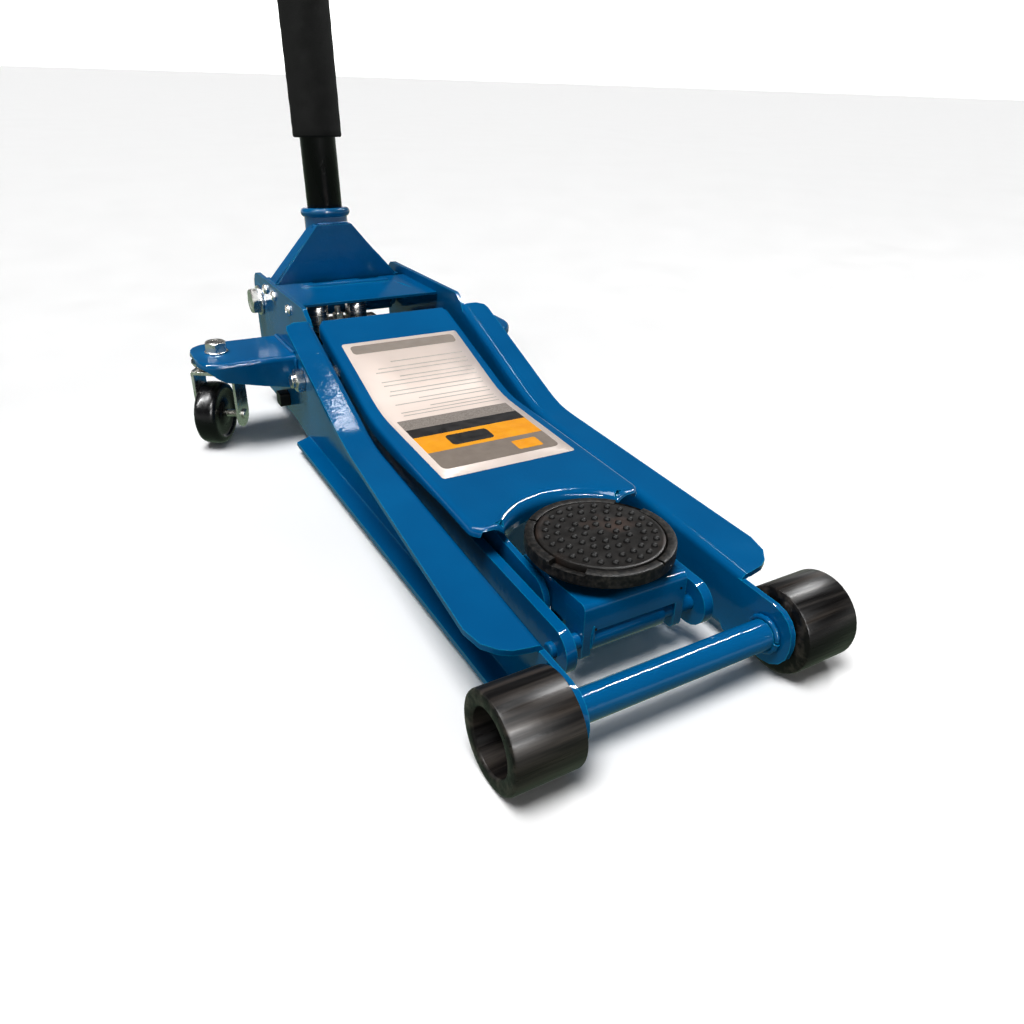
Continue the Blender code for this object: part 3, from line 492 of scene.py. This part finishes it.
def cover_profile(x, y):
    """Insets and drops at the cover's edge: turned-down sides, a drawn lip at the notch, rolled ends."""
    from_notch = math.hypot(x, y - SADDLE_Y) - NOTCH_R
    wall = 1 if from_notch < 0.0002 else max(0, 1 - from_notch / 0.002)
    ends = (COVER_FRONT[0] + 0.010 - y, y - COVER_REAR[0] + 0.012)
    flat = min(max(max(ends) / 0.010, 0), 1) if abs(x) < COVER_HALF_REAR - 0.004 else 0
    depth = 0.0075 + 0.0065 * min(max((y - 0.20) / 0.10, 0), 1)
    fall = 0.0100 * min(max((0.053 - abs(x)) / 0.008, 0.25), 1)
    side = [(0, depth), (0, 0.5 * (depth + 0.0055)), (0, 0.0055), (0.00042, 0.0034), (0.0016, 0.0016),
            (0.0034, 0.00042), (0.0055, 0)]
    drawn = [(0, fall), (0, fall * 0.55), (0, fall * 0.15), (0.0008, 0), (0.0026, 0), (0.0052, 0),
             (LIP_REACH, 0)]
    rolled = [(0, 0.0022), (0.0003, 0.0014), (0.0008, 0.0008), (0.0016, 0.0004), (0.0028, 0.00015),
              (0.0040, 0.00004), (0.0055, 0)]
    out = []
    for s, d, r in zip(side, drawn, rolled):
        edge = [a * (1 - flat) + b * flat for a, b in zip(s, r)]
        out.append(tuple(a * (1 - wall) + b * wall for a, b in zip(edge, d)))
    return out


KINK_ROWS = [COVER_KINK[0] + d for d in (-0.022, -0.0165, -0.011, -0.0055, 0, 0.0055, 0.011, 0.0165, 0.022)]


def cover():
    rows = [0.150 + 0.012 * k for k in range(16)] + KINK_ROWS + [0.394 + 0.012 * k for k in range(10)]
    bm = formed_sheet(bmesh.new(), cover_outline(), cover_profile, drawn_height, (0.011, rows))
    piece("cover_formed", bm, "lift_arm", "blue_paint", replaces=["cover_plate"], sharp=60, thickness=0.004,
          bevel=0.0011, segments=3)


LABEL_HALF, LABEL_FRONT, LABEL_REAR = 0.065, 0.224, 0.466
LABEL_LIFT = 0.0005


def printed(bm, low, high, lift, mat_index, radii=(0, 0, 0, 0)):
    """A patch of label between two corners (x, y) that follows the cover.

    radii are the corners' own, anticlockwise from the front left."""
    (x0, y0), (x1, y1) = low, high
    corners = [(x0, y0, 180), (x1, y0, 270), (x1, y1, 0), (x0, y1, 90)]
    outline = []
    for (x, y, start), radius in zip(corners, radii):
        if radius:
            cx = x + (radius if x == x0 else -radius)
            cy = y + (radius if y == y0 else -radius)
            outline += arc((cx, cy), radius, start, start + 90, 6)
        else:
            outline.append((x, y))
    outline = [Vector(p) for p in resample(outline, 0.012)]
    rows = [y for y in KINK_ROWS if y0 + 0.001 < y < y1 - 0.001]
    edges = [(i, (i + 1) % len(outline)) for i in range(len(outline))]
    inside = [Vector((x0 + (x1 - x0) * k / 6, y)) for y in rows for k in range(1, 6)]
    points, _, faces, _, _, _ = delaunay_2d_cdt(outline + inside, edges, [], 1, 1e-7)
    verts = [bm.verts.new(at(p.x, p.y, cover_height(p.y) + lift)) for p in points]
    for face in faces:
        made = bm.faces.new([verts[i] for i in face])
        made.material_index = mat_index
        made.normal_update()
        if made.normal.z < 0:
            made.normal_flip()


def label():
    """Generic label: blocks and rules of colour in place of any wording or marks."""
    sheet = bmesh.new()
    printed(sheet, (-LABEL_HALF, LABEL_FRONT), (LABEL_HALF, LABEL_REAR), LABEL_LIFT, 0, (0.003,) * 4)
    piece("label_sheet", sheet, "lift_arm", "label", replaces=["cover_label"], thickness=0.0003)
    names = ["orange", "black", "grey", "rule", "mottle"]
    art = bmesh.new()
    lift = LABEL_LIFT + 0.00008
    edge = LABEL_HALF - 0.007
    printed(art, (-edge, 0.238), (edge, 0.270), lift, 2, (0.006, 0.006, 0, 0))
    printed(art, (-edge, 0.270), (edge, 0.302), lift, 0)
    printed(art, (-edge, 0.302), (edge, 0.319), lift, 1)
    printed(art, (-edge, 0.319), (edge, 0.3395), lift, 4)
    printed(art, (-edge, 0.448), (edge, 0.461), lift, 2, (0.004,) * 4)
    y = 0.348
    for group in (3, 2, 2, 3, 2, 1):
        for k in range(group):
            length = 0.112 * (0.92 - 0.45 * RNG.random() * (k == group - 1))
            printed(art, (0.056 - length, y), (0.056, y + 0.0013), lift, 3)
            y += 0.0056
        y += 0.0030
    printed(art, (0.020, 0.245), (0.045, 0.262), lift + 0.00008, 0, (0.002,) * 4)
    printed(art, (-0.030, 0.276), (0.012, 0.296), lift + 0.00008, 1, (0.004,) * 4)
    piece("label_print", art, "lift_arm", "label", [INKS[name] for name in names])


# ---------------------------------------------------------------- saddle
SADDLE_TOP, SADDLE_R = 0.091, 0.056
STUD_RINGS = ((0.0405, 25), (0.032, 20), (0.021, 14), (0.012, 8), (0, 1))


def saddle():
    """Cast dish with a flat rim, radial cuts and recesses, and a rubber pad with domed studs."""
    cuts = [(130, 132.4, 0.0026), (-74.2, -71.8, 0.0026), (17, 42, 0.0034), (-165, -136, 0.0040)]
    angles = set(range(-180, 180, 3))
    for start, end, _ in cuts:
        angles |= {start, end, start + 0.35, end - 0.35}
    angles = sorted(angles)

    def drop(angle):
        return max((depth for start, end, depth in cuts if start + 0.1 < angle < end - 0.1), default=0)

    base = [(0.0500, 0.0090), (0.0510, 0.0097), (0.0715, 0.0097), (0.0715, 0.0290), (0.0722, 0.0310),
            (0.0785, 0.0500), (0.0796, 0.0550)]
    rim = [(0.0806, SADDLE_R), (0.0885, SADDLE_R), (0.0902, SADDLE_R - 0.0002), (0.0908, SADDLE_R - 0.0007),
           (SADDLE_TOP, SADDLE_R - 0.0014), (SADDLE_TOP, 0.0498), (0.0907, 0.0491), (0.0900, 0.0488),
           (0.0846, 0.0485)]
    bm = bmesh.new()
    centre = at(0, SADDLE_Y, 0)
    columns = []
    for angle in angles:
        a = math.radians(angle)
        ring = []
        for z, r in base + rim:
            lowered = z - drop(angle) if z > 0.0885 else z
            ring.append(bm.verts.new(centre + Vector((r * math.cos(a), r * math.sin(a), lowered))))
        columns.append(ring)
    for one, two in zip(columns, columns[1:] + columns[:1]):
        for k in range(len(one) - 1):
            bm.faces.new((one[k], two[k], two[k + 1], one[k + 1]))
    bm.faces.new([ring[0] for ring in columns])
    bm.faces.new([ring[-1] for ring in columns])
    piece("saddle_casting", bm, "saddle", "black_rubber", [CAST], replaces=["saddle_dish"], sharp=32)

    pad = bmesh.new()
    edge = [(0.0848, 0.0478), (0.0902, 0.0478), (0.0911, 0.0474), (0.0916, 0.0464), (0.0914, 0.0450),
            (0.0912, 0.0435)]
    lathe(pad, edge, centre, (0, 0, 1), 96)
    studs = bmesh.new()
    for radius, count in STUD_RINGS:
        for k in range(count):
            a = 2 * math.pi * (k + 0.3 * (count % 3)) / count
            spot = centre + Vector((radius * math.cos(a), radius * math.sin(a), 0.0908))
            size = 0.0025 * RNG.uniform(0.94, 1.06)
            dome = [(0, size), (0.0010, size), (0.0018, size * 0.90), (0.0024, size * 0.66),
                    (0.0027, size * 0.36), (0.00282, size * 0.10)]
            lathe(studs, dome, spot, (0, 0, 1), 14)
    piece("saddle_pad_studded", pad, "saddle", "black_rubber", [PAD], replaces=["saddle_pad"])
    piece("saddle_pad_studs", studs, "saddle", "black_rubber", [STUD])


# ---------------------------------------------------------------- wheels
WHEEL_IN, WHEEL_WIDTH = 0.0925, 0.0508
WHEEL_HOLLOW_R, WHEEL_HOLLOW_DEPTH = 0.0222, 0.029


def front_wheel(side):
    """Turned wheel with eased rims and a hollow outer face; the profile runs outwards from the web."""
    width, hollow = WHEEL_WIDTH, WHEEL_HOLLOW_R
    floor = width - WHEEL_HOLLOW_DEPTH
    rim = [(0, 0.0083), (0, 0.030), (0.0004, WHEEL_R - 0.0018), (0.0010, WHEEL_R - 0.0005), (0.0022, WHEEL_R),
           (width - 0.0024, WHEEL_R), (width - 0.0010, WHEEL_R - 0.0006), (width - 0.0003, WHEEL_R - 0.0018),
           (width, WHEEL_R - 0.0030), (width, hollow + 0.0022), (width - 0.0004, hollow + 0.0010),
           (width - 0.0016, hollow), (floor + 0.005, hollow - 0.0012), (floor + 0.0012, hollow - 0.0030),
           (floor, hollow - 0.0055), (floor, 0.0083)]
    name = side_of(side)
    turned("wheel_turned_" + name, rim, at(side * WHEEL_IN, 0, WHEEL_R), (side, 0, 0), "front_wheel_" + name,
           "black_wheel", 96, True, replaces=["front_wheel_" + name])


def bead(bm, points, radius, pitch=0.0035, sides=8, closed=False):
    """Weld bead or rib: a tube along points, swelling in steps of pitch where pitch is set."""
    path = [Vector(p) for p in points]
    if pitch:
        fine = []
        for a, b in zip(path, path[1:] + (path[:1] if closed else [])):
            steps = max(1, round((b - a).length / (pitch / 3)))
            fine += [a.lerp(b, k / steps) for k in range(steps)]
        path = fine + ([] if closed else [path[-1]])
    rings = []
    for i, p in enumerate(path):
        before = path[i - 1] if i or closed else p
        after = path[(i + 1) % len(path)] if i + 1 < len(path) or closed else p
        turn = frame_to(after - before).to_3x3()
        swell = radius
        if pitch:
            swell = radius * (1 + 0.10 * math.cos(2 * math.pi * i / 3) + RNG.uniform(-0.05, 0.05))
        if not closed and i in (0, len(path) - 1):
            swell *= 0.35
        rings.append([bm.verts.new(p + turn @ Vector((swell * math.cos(2 * math.pi * k / sides),
                                                      swell * math.sin(2 * math.pi * k / sides), 0)))
                      for k in range(sides)])
    for low, high in list(zip(rings, rings[1:])) + ([(rings[-1], rings[0])] if closed else []):
        for k in range(sides):
            j = (k + 1) % sides
            bm.faces.new((low[k], low[j], high[j], high[k]))
    if not closed:
        bm.faces.new(rings[0])
        bm.faces.new(rings[-1])
    return bm


def circle(centre, direction, radius, count=48):
    turn = frame_to(direction).to_3x3()
    angles = [2 * math.pi * k / count for k in range(count)]
    return [Vector(centre) + turn @ Vector((radius * math.cos(a), radius * math.sin(a), 0)) for a in angles]


# ---------------------------------------------------------------- frame details
WEB_OUT, WEB_IN = 0.090, 0.0855
ARM_PIVOT, YOKE_PIVOT = (0.534, 0.080), (0.690, 0.132)
CASTER, CASTER_TURN = (0.166, 0.595), math.radians(34)
BARRELS, BARREL_Y = (-0.032, 0.017), 0.6515
CROSS_SCREWS = ((0.6546, 0.1532), (0.6189, 0.1530), (0.5591, 0.1515))


def axle_tube():
    half = WEB_IN - 0.0003
    tube = [(-half, 0.0083), (-half, 0.0128), (0.0015 - half, 0.0126), (0.0035 - half, 0.0116),
            (half - 0.0035, 0.0116), (half - 0.0015, 0.0126), (half, 0.0128), (half, 0.0083)]
    bm = lathe(bmesh.new(), tube, at(0, 0, WHEEL_R), (1, 0, 0), 64, True)
    for side in (-1, 1):
        seam = circle(at(side * (half - 0.0022), 0, WHEEL_R), (1, 0, 0), 0.0133)
        bead(bm, seam, 0.0021, 0.0042, closed=True)
    piece("axle_tube_welded", bm, "frame", "blue_paint", replaces=["front_axle_tube"], sharp=60)


def cross_plate():
    """Screwed cross plate with a pressed rib, a diagonal crease and two slots in its rear edge."""
    half, front, rear = WEB_IN - 0.0003, 0.556, 0.656
    outline = [(-half, front), (half, front), (half, rear)]
    for x0, x1 in ((0.050, 0.024), (-0.008, -0.034)):
        outline += [(x0, rear), (x0, rear - 0.005), (x1, rear - 0.005), (x1, rear)]
    outline += [(-half, rear)]
    bm = prism(bmesh.new(), outline, 0.1528, 0.1560, "Z")
    ends = [at(-0.054, 0.6335, 0.1552), at(0.056, 0.6325, 0.1552)]
    rib = [ends[0].lerp(ends[1], k / 24) for k in range(25)]
    bead(bm, rib, 0.0042, 0, 16)
    crease = [at(0.060, 0.622, 0.1553), at(0.064, 0.607, 0.1553), at(0.066, 0.585, 0.1553)]
    bead(bm, crease, 0.0020, 0, 10)
    piece("cross_plate_pressed", bm, "frame", "blue_paint", replaces=["rear_cross_plate"], bevel=0.0009,
          segments=3)


def screws(side):
    """Button-head screws through the web into the cross plate."""
    bm = bmesh.new()
    for y, z in CROSS_SCREWS:
        head = [(0, 0.0058), (0.0008, 0.0060), (0.0018, 0.0057), (0.0030, 0.0046), (0.0037, 0.0032),
                (0.0036, 0.0026), (0.0016, 0.0023), (0.0014, 0.0004)]
        lathe(bm, head, at(side * (WEB_OUT + 0.0001), y, z), (side, 0, 0), 24)
    piece("web_screws_" + side_of(side), bm, "frame", "zinc_plate")


def bolts(side):
    """Hexagon-headed hardware: the caster's bolt, the yoke's pivot bolt and the arm bolt's nut."""
    name, up, out = side_of(side), (0, 0, 1), (side, 0, 0)
    spot = at(side * CASTER[0], CASTER[1], 0)
    shank = [(0.0795, 0.0085), (0.0800, 0.0090), (0.0825, 0.0090), (0.0825, 0.0060), (0.1043, 0.0060),
             (0.1043, 0.0122), (0.1046, 0.0125), (0.1055, 0.0125), (0.1058, 0.0122)]
    bm = lathe(bmesh.new(), shank, spot, up, 48)
    hexagon(bm, 0.1056, 0.1162, 0.0105, spot, up, 0.3)
    piece("caster_bolt_hex_" + name, bm, "frame", "zinc_plate", replaces=["caster_bolt_" + name], sharp=28)
    spot = at(0, *YOKE_PIVOT)
    shank = [(0.0720, 0.0100), (0.0903, 0.0100), (0.0903, 0.0172), (0.0906, 0.0175), (0.0923, 0.0175),
             (0.0927, 0.0171)]
    bm = lathe(bmesh.new(), shank, spot, out, 48)
    hexagon(bm, 0.0926, 0.1024, 0.0140, spot, out, 0.2)
    piece("yoke_bolt_hex_" + name, bm, "frame", "zinc_plate", replaces=["yoke_bolt_" + name], sharp=28)
    spot = at(0, *ARM_PIVOT)
    bm = hexagon(bmesh.new(), 0.0904, 0.0988, 0.0115, spot, out, 0.1)
    piece("arm_nut_hex_" + name, bm, "frame", "zinc_plate", replaces=["arm_pivot_nut_" + name], sharp=28)


def frame_welds(side):
    """Beads round the caster bracket's foot and along the rear tie plate."""
    bm = bmesh.new()
    x = side * (WEB_OUT + 0.0012)
    top = [at(x, y, 0.1046) for y in (0.556, 0.631)]
    bead(bm, top, 0.0019, 0.0040)
    for y in (0.5492, 0.6368):
        bead(bm, [at(x, y, 0.100), at(x, y, 0.068)], 0.0017, 0.0040)
    inside = side * (WEB_IN - 0.0010)
    bead(bm, [at(inside, 0.650, 0.0236), at(inside, 0.694, 0.0236)], 0.0018, 0.0040)
    piece("frame_welds_" + side_of(side), bm, "frame", "blue_paint", sharp=80)


def pump():
    """Valve block with two bright barrels and their plugs."""
    plan = [(-0.058, 0.640), (0.058, 0.640), (0.058, 0.702), (-0.058, 0.702)]
    block = prism(bmesh.new(), plan, 0.0231, 0.100, "Z")
    piece("pump_valve_block", block, "frame", "black_wheel", [CAST], replaces=["pump_block"], bevel=0.003,
          segments=4)
    bm = bmesh.new()
    for x in BARRELS:
        barrel = [(0.0985, 0.0125), (0.1010, 0.0130), (0.1300, 0.0130), (0.1315, 0.0122), (0.1330, 0.0122),
                  (0.1345, 0.0128), (0.1378, 0.0128), (0.1390, 0.0116), (0.1390, 0.0040), (0.1375, 0.0035)]
        lathe(bm, barrel, at(x, BARREL_Y, 0), (0, 0, 1), 48)
    piece("pump_barrels", bm, "frame", "bright_steel")
    plugs = bmesh.new()
    for x in (-0.046, 0.046):
        lathe(plugs, [(0, 0.0060), (0.0015, 0.0060), (0.0020, 0.0055), (0.0020, 0.0030), (0.0008, 0.0028)],
              at(x, 0.7018, 0.083), (0, 1, 0), 24)
    for x in (-0.045, 0.045):
        lathe(plugs, [(0, 0.0045), (0.0020, 0.0045), (0.0028, 0.0036)], at(x, 0.676, 0.0998), (0, 0, 1), 24)
    piece("pump_plugs", plugs, "frame", "zinc_plate")


def cradle():
    """Cast cradle: a deep front panel that runs down into two ears, rear lugs, and a sleeve on the pin."""
    half, front = 0.0450, 0.0450
    body = arc((0.0500, 0.0658), 0.0050, 180, 90, 8) + arc((0.1240, 0.0640), 0.0040, 90, 0, 6)
    body += [(0.128, 0.0450), (0.0490, 0.0450), (0.0462, 0.0462), (front, 0.0478)]
    bm = prism(bmesh.new(), body, -half, half)
    for side in (-1, 1):
        inner, outer = sorted((side * 0.0372, side * (half - 0.0003)))
        ear = arc((0.0505, 0.0290), 0.0055, 180, 270, 8) + arc((0.0575, 0.0335), 0.0100, 270, 350, 6)
        ear += [(0.0672, 0.0460), (0.0672, 0.0600), (0.0490, 0.0600), (0.0466, 0.0500), (front, 0.0479)]
        prism(bm, ear, inner, outer)
        lug = [(0.104, 0.052), (0.082, 0.052)] + arc((0.092, 0.024), 0.008, 180, 360, 8)
        prism(bm, lug, *sorted((side * 0.028, side * 0.035)))
        boss = [(-0.001, 0.0062), (0.0010, 0.0062), (0.0016, 0.0056)]
        lathe(bm, boss, at(side * half, 0.100, 0.0570), (side, 0, 0), 24)
    lathe(bm, [(-0.0375, 0.0088), (0.0265, 0.0088), (0.0280, 0.0078)], at(0, 0.052, 0.038), (1, 0, 0), 48)
    rib = [at(x, front - 0.0002, z) for x, z in ((-0.0362, 0.0520), (-0.0366, 0.0420), (-0.0368, 0.0330))]
    bead(bm, rib, 0.0016, 0)
    piece("cradle_casting", bm, "cradle", "blue_paint", replaces=["saddle_cradle"], bevel=0.0013, segments=3)
    # Painted shade: two thin black discs on the front panel stand in for the dark inside of small cored
    # holes; no hole is cut.
    dark = bmesh.new()
    for x, y, z, r in ((0.0400, front - 0.0002, 0.0600, 0.0009), (-0.0346, front - 0.0002, 0.0490, 0.0010)):
        lathe(dark, [(0, r), (0.0004, r)], at(x, y, z), (0, -1, 0), 16)
    piece("cradle_cored_holes", dark, "cradle", "black_rubber")


# ---------------------------------------------------------------- yoke and handle
SOCKET_TOP, LEAN = (0.6905, 0.2353), math.radians(4.64)
WAY = Vector((0, math.sin(LEAN), math.cos(LEAN)))


def on_handle(distance):
    return at(0, *SOCKET_TOP) + WAY * distance


def yoke_welds():
    """Beads along the yoke's plates, and the rolled bead at the socket's mouth."""
    bm = bmesh.new()
    for side in (-1, 1):
        bead(bm, [at(side * 0.0205, 0.6690, 0.2190), at(side * 0.0240, 0.6720, 0.2155)], 0.0020, 0.0040)
        bead(bm, [at(side * 0.0765, 0.6630, 0.1516), at(side * 0.0765, 0.6830, 0.1516)], 0.0018, 0.0040)
        bead(bm, [at(side * 0.0160, 0.6655, 0.219), at(side * 0.0185, 0.6655, 0.180)], 0.0018, 0.0040)
    bead(bm, [at(-0.0190, 0.6640, 0.2203), at(0, 0.6630, 0.2208), at(0.0190, 0.6640, 0.2203)], 0.0018, 0.0040)
    piece("yoke_welds", bm, "yoke", "blue_paint", sharp=80)
    ring = [(-0.0100, 0.0256), (-0.0094, 0.0268), (-0.0080, 0.0281), (-0.0062, 0.0290), (-0.0046, 0.0292),
            (-0.0030, 0.0289), (-0.0014, 0.0280), (-0.0003, 0.0266), (0.0001, 0.0250), (0.0001, 0.0212),
            (-0.0100, 0.0212)]
    turned("socket_bead", ring, on_handle(0), WAY, "yoke", "blue_paint", 72, True, sharp=50)


def handle():
    """Two tubes, a foam sleeve and a ribbed grip, all turned about the handle's axis."""
    tube = [(-0.062, 0.0176), (-0.062, 0.0198), (-0.0610, 0.0205), (0.5190, 0.0205), (0.5200, 0.0198),
            (0.5200, 0.0176)]
    turned("handle_tube_lower", tube, on_handle(0), WAY, "handle", "black_tube", 64, True,
           replaces=["handle_lower_tube"])
    tube = [(0.440, 0.0145), (0.440, 0.0173), (1.0334, 0.0173), (1.0340, 0.0168), (1.0340, 0.0145)]
    turned("handle_tube_upper", tube, on_handle(0), WAY, "handle", "black_tube", 64, True,
           replaces=["handle_upper_tube"])
    low, high = 0.0767, 0.400
    profile = [(low, 0.0209), (low, 0.0262), (low + 0.0006, 0.0272), (low + 0.0020, 0.0279)]
    for k in range(1, 40):
        along = low + (high - low) * k / 40
        profile.append((along, 0.0280 - 0.00018 * (1 + math.sin(k * 2.1)) - 0.0001 * RNG.random()))
    profile += [(high - 0.0020, 0.0279), (high - 0.0006, 0.0272), (high, 0.0262), (high, 0.0209)]
    sleeve = turned("foam_sleeve", profile, on_handle(0), WAY, "handle", "foam_sleeve", 72, True,
                    replaces=["handle_sleeve"], sharp=60)
    grip = [(1.0360, 0.0177), (0.8800, 0.0177), (0.8800, 0.0212), (0.8812, 0.0220)]
    for k in range(22):
        base = 0.892 + 0.0062 * k
        grip += [(base, 0.0220), (base + 0.0008, 0.0209), (base + 0.0022, 0.0209), (base + 0.0030, 0.0220)]
    grip += [(1.0440, 0.0220), (1.0478, 0.0214), (1.0494, 0.0196), (1.0500, 0.0160)]
    turned("grip_ribbed", grip, on_handle(0), WAY, "handle", "black_rubber", 64, replaces=["handle_grip"],
           sharp=50)


# ---------------------------------------------------------------- casters and springs
CASTER_SHIFT, CASTER_TRAIL, CASTER_R = 0.0085, 0.006, 0.035


def caster_wheel(side):
    """Moulded wheel, set off to one side of its fork, and the threaded axle through both."""
    turn = Matrix.Rotation(side * CASTER_TURN, 3, "Z")
    swivel = at(side * CASTER[0], CASTER[1], 0)
    centre = swivel + turn @ Vector((side * CASTER_SHIFT, -CASTER_TRAIL, CASTER_R))
    axle_at = swivel + turn @ Vector((0, -CASTER_TRAIL, CASTER_R))
    half = 0.012
    tread = [(-half, 0.0044), (-half, 0.0122), (-half + 0.0006, 0.0130), (-half + 0.0023, 0.0148),
             (-half + 0.0025, 0.0165), (-half + 0.0025, 0.0247), (-half + 0.0019, 0.0259),
             (-half + 0.0004, 0.0272), (-half, 0.0284), (-half + 0.0003, 0.0312),
             (-half + 0.0018, 0.0335), (-half + 0.0044, 0.0347)]
    crown = [(-0.004, 0.0350), (0.004, 0.0350)]
    profile = tread + crown + [(-x, r) for x, r in reversed(tread)]
    bm = lathe(bmesh.new(), profile, centre, turn @ Vector((1, 0, 0)), 72, True)
    half = 0.0243
    axle = [(-half, 0.0058), (-half - 0.0016, 0.0056), (-half - 0.0026, 0.0040)]
    shank = [(half + 0.0026, 0.0040), (half + 0.0016, 0.0056), (half, 0.0058), (half, 0.0040)]
    for k in range(25):
        shank += [(half - 0.0003 - 0.0008 * k, 0.0040), (half - 0.0007 - 0.0008 * k, 0.0034)]
    rod = lathe(bmesh.new(), shank + [(-half, 0.0040)] + axle, axle_at, turn @ Vector((1, 0, 0)), 32)
    piece("caster_axle_threaded_" + side_of(side), rod, "caster_" + side_of(side), "zinc_plate",
          replaces=["caster_axle_" + side_of(side)], sharp=30)
    piece("caster_tyre_" + side_of(side), bm, "caster_wheel_" + side_of(side), "caster_nylon",
          replaces=["caster_wheel_" + side_of(side)], sharp=50)


def spring(side):
    """Return spring: a close-wound coil with a hooked eye at each end."""
    x = side * 0.0735
    start, end = at(x, 0.300, 0.034), at(x, 0.430, 0.050)
    way = (end - start)
    turn = frame_to(way).to_3x3()
    turns, steps, coil_r = 26, 14, 0.0055
    path = []
    for k in range(turns * steps + 1):
        a = 2 * math.pi * k / steps
        path.append(start + way * (0.06 + 0.88 * k / (turns * steps))
                    + turn @ Vector((coil_r * math.cos(a), coil_r * math.sin(a), 0)))
    bm = bead(bmesh.new(), path, 0.0011, 0, 8)
    for tip, back in ((start, end), (end, start)):
        toward = (back - tip).normalized()
        bead(bm, circle(tip + toward * 0.0045, (1, 0, 0), 0.0042, 20), 0.0011, 0, 8, closed=True)
    piece("spring_coil_" + side_of(side), bm, "lift_arm", "bright_steel", [SPRING],
          replaces=["return_spring_" + side_of(side)], sharp=80)


cover()
label()
saddle()
axle_tube()
cross_plate()
pump()
cradle()
yoke_welds()
handle()
for SIDE in (-1, 1):
    front_wheel(SIDE)
    screws(SIDE)
    bolts(SIDE)
    frame_welds(SIDE)
    caster_wheel(SIDE)
    spring(SIDE)


# ---------------------------------------------------------------- stage, light and camera
def stage_object(name, bm, mat):
    """Scenery that the camera sees but that neither lights the jack nor shows in its paint."""
    mesh = bpy.data.meshes.new(name)
    bm.to_mesh(mesh)
    bm.free()
    mesh.materials.append(mat)
    obj = bpy.data.objects.new(name, mesh)
    bpy.context.scene.collection.objects.link(obj)
    obj.visible_diffuse = obj.visible_glossy = obj.visible_transmission = False
    return obj


def stage():
    """Pale floor and a white backdrop round it."""
    bm = bmesh.new()
    bmesh.ops.create_grid(bm, x_segments=2, y_segments=2, size=60)
    n = Nodes("studio_floor")
    tone = n.ramp(n.noise(3, 2), [(0.3, (0.93, 0.93, 0.93)), (0.7, (0.945, 0.945, 0.945))])
    stage_object("floor", bm, n.finish(tone, n.spread(n.noise(9, 2), 0.55, 0.7)))
    bm = bmesh.new()
    bmesh.ops.create_uvsphere(bm, u_segments=48, v_segments=24, radius=58)
    n = Nodes("studio_backdrop")
    glow = n.ramp(n.noise(0.01, 1), [(0.3, (0.97, 0.97, 0.97)), (0.7, (1, 1, 1))])
    n.link(glow, n.shader.inputs["Emission Color"])
    white = n.finish(glow, n.spread(glow, 0.9, 1.0), emission_strength=0.9)
    stage_object("backdrop", bm, white).visible_shadow = False


def sky():
    """Even grey sky with a bright band round the horizon, for the paint to reflect."""
    world = bpy.data.worlds.new("studio")
    bpy.context.scene.world = world
    world.use_nodes = True
    tree = world.node_tree
    coord = tree.nodes.new("ShaderNodeTexCoord")
    split = tree.nodes.new("ShaderNodeSeparateXYZ")
    height = tree.nodes.new("ShaderNodeMapRange")
    height.inputs["From Min"].default_value = -1
    ramp = tree.nodes.new("ShaderNodeValToRGB")
    tree.links.new(coord.outputs["Generated"], split.inputs[0])
    tree.links.new(split.outputs["Z"], height.inputs["Value"])
    tree.links.new(height.outputs["Result"], ramp.inputs[0])
    tree.links.new(ramp.outputs[0], tree.nodes["Background"].inputs["Color"])
    below, white, grey, dark = (0.20, 0.27, 0.20), (0.97, 0.97, 0.97), (0.45, 0.45, 0.45), (0.08, 0.08, 0.08)
    stops = ((0.40, below), (0.48, white), (0.5375, white), (0.56, grey), (0.60, dark))
    elements = ramp.color_ramp.elements
    while len(elements) < len(stops):
        elements.new(0.5)
    for element, (position, color) in zip(elements, stops):
        element.position = position
        element.color = (*color, 1.0)
    tree.nodes["Background"].inputs["Strength"].default_value = 1.0


def sun(name, way, strength, width):
    """A broad soft source that lights the whole floor evenly, from the direction way."""
    light = bpy.data.lights.new(name, "SUN")
    light.energy = strength
    light.angle = math.radians(width)
    obj = bpy.data.objects.new(name, light)
    bpy.context.scene.collection.objects.link(obj)
    obj.rotation_euler = Vector(way).to_track_quat("Z", "Y").to_euler()


def area(name, spot, aim, size, watts):
    """A rectangular lamp that shows only as highlights."""
    light = bpy.data.lights.new(name, "AREA")
    light.shape = "RECTANGLE"
    light.size, light.size_y = size
    light.energy = watts
    obj = bpy.data.objects.new(name, light)
    bpy.context.scene.collection.objects.link(obj)
    obj.location = spot
    obj.rotation_euler = (Vector(aim) - Vector(spot)).to_track_quat("-Z", "Y").to_euler()
    obj.visible_camera = False
    obj.visible_diffuse = False


def camera():
    data = bpy.data.cameras.new("camera")
    data.lens = 27.58
    data.sensor_width = 36
    obj = bpy.data.objects.new("camera", data)
    bpy.context.scene.collection.objects.link(obj)
    obj.location = at(-0.3094, -0.2983, 0.3819)
    obj.rotation_euler = [math.radians(v) for v in (60.890, -1.701, -29.806)]
    bpy.context.scene.camera = obj


stage()
sky()
sun("key", (-0.35, -0.10, 1.35), 2.42, 30)
TUBES = (("tube_left", (-1.6, 0.1, 1.7), "Y", 65), ("tube_right", (1.5, 0.3, 1.9), "Y", 65),
         ("tube_front", (-0.2, -1.9, 1.9), "X", 65), ("tube_low", (-0.2, -2.3, 0.9), "X", 45),
         ("tube_top", (0.35, 0.5, 2.6), "Y", 10))
for tube_name, spot, along, watts in TUBES:
    area(tube_name, spot, (0, 0, 0.1), (0.06, 1.5) if along == "Y" else (1.5, 0.06), watts)
camera()
bpy.context.scene.view_settings.view_transform = "Standard"
bpy.context.scene.view_settings.gamma = 0.86
bpy.context.scene.view_settings.exposure = 0.38
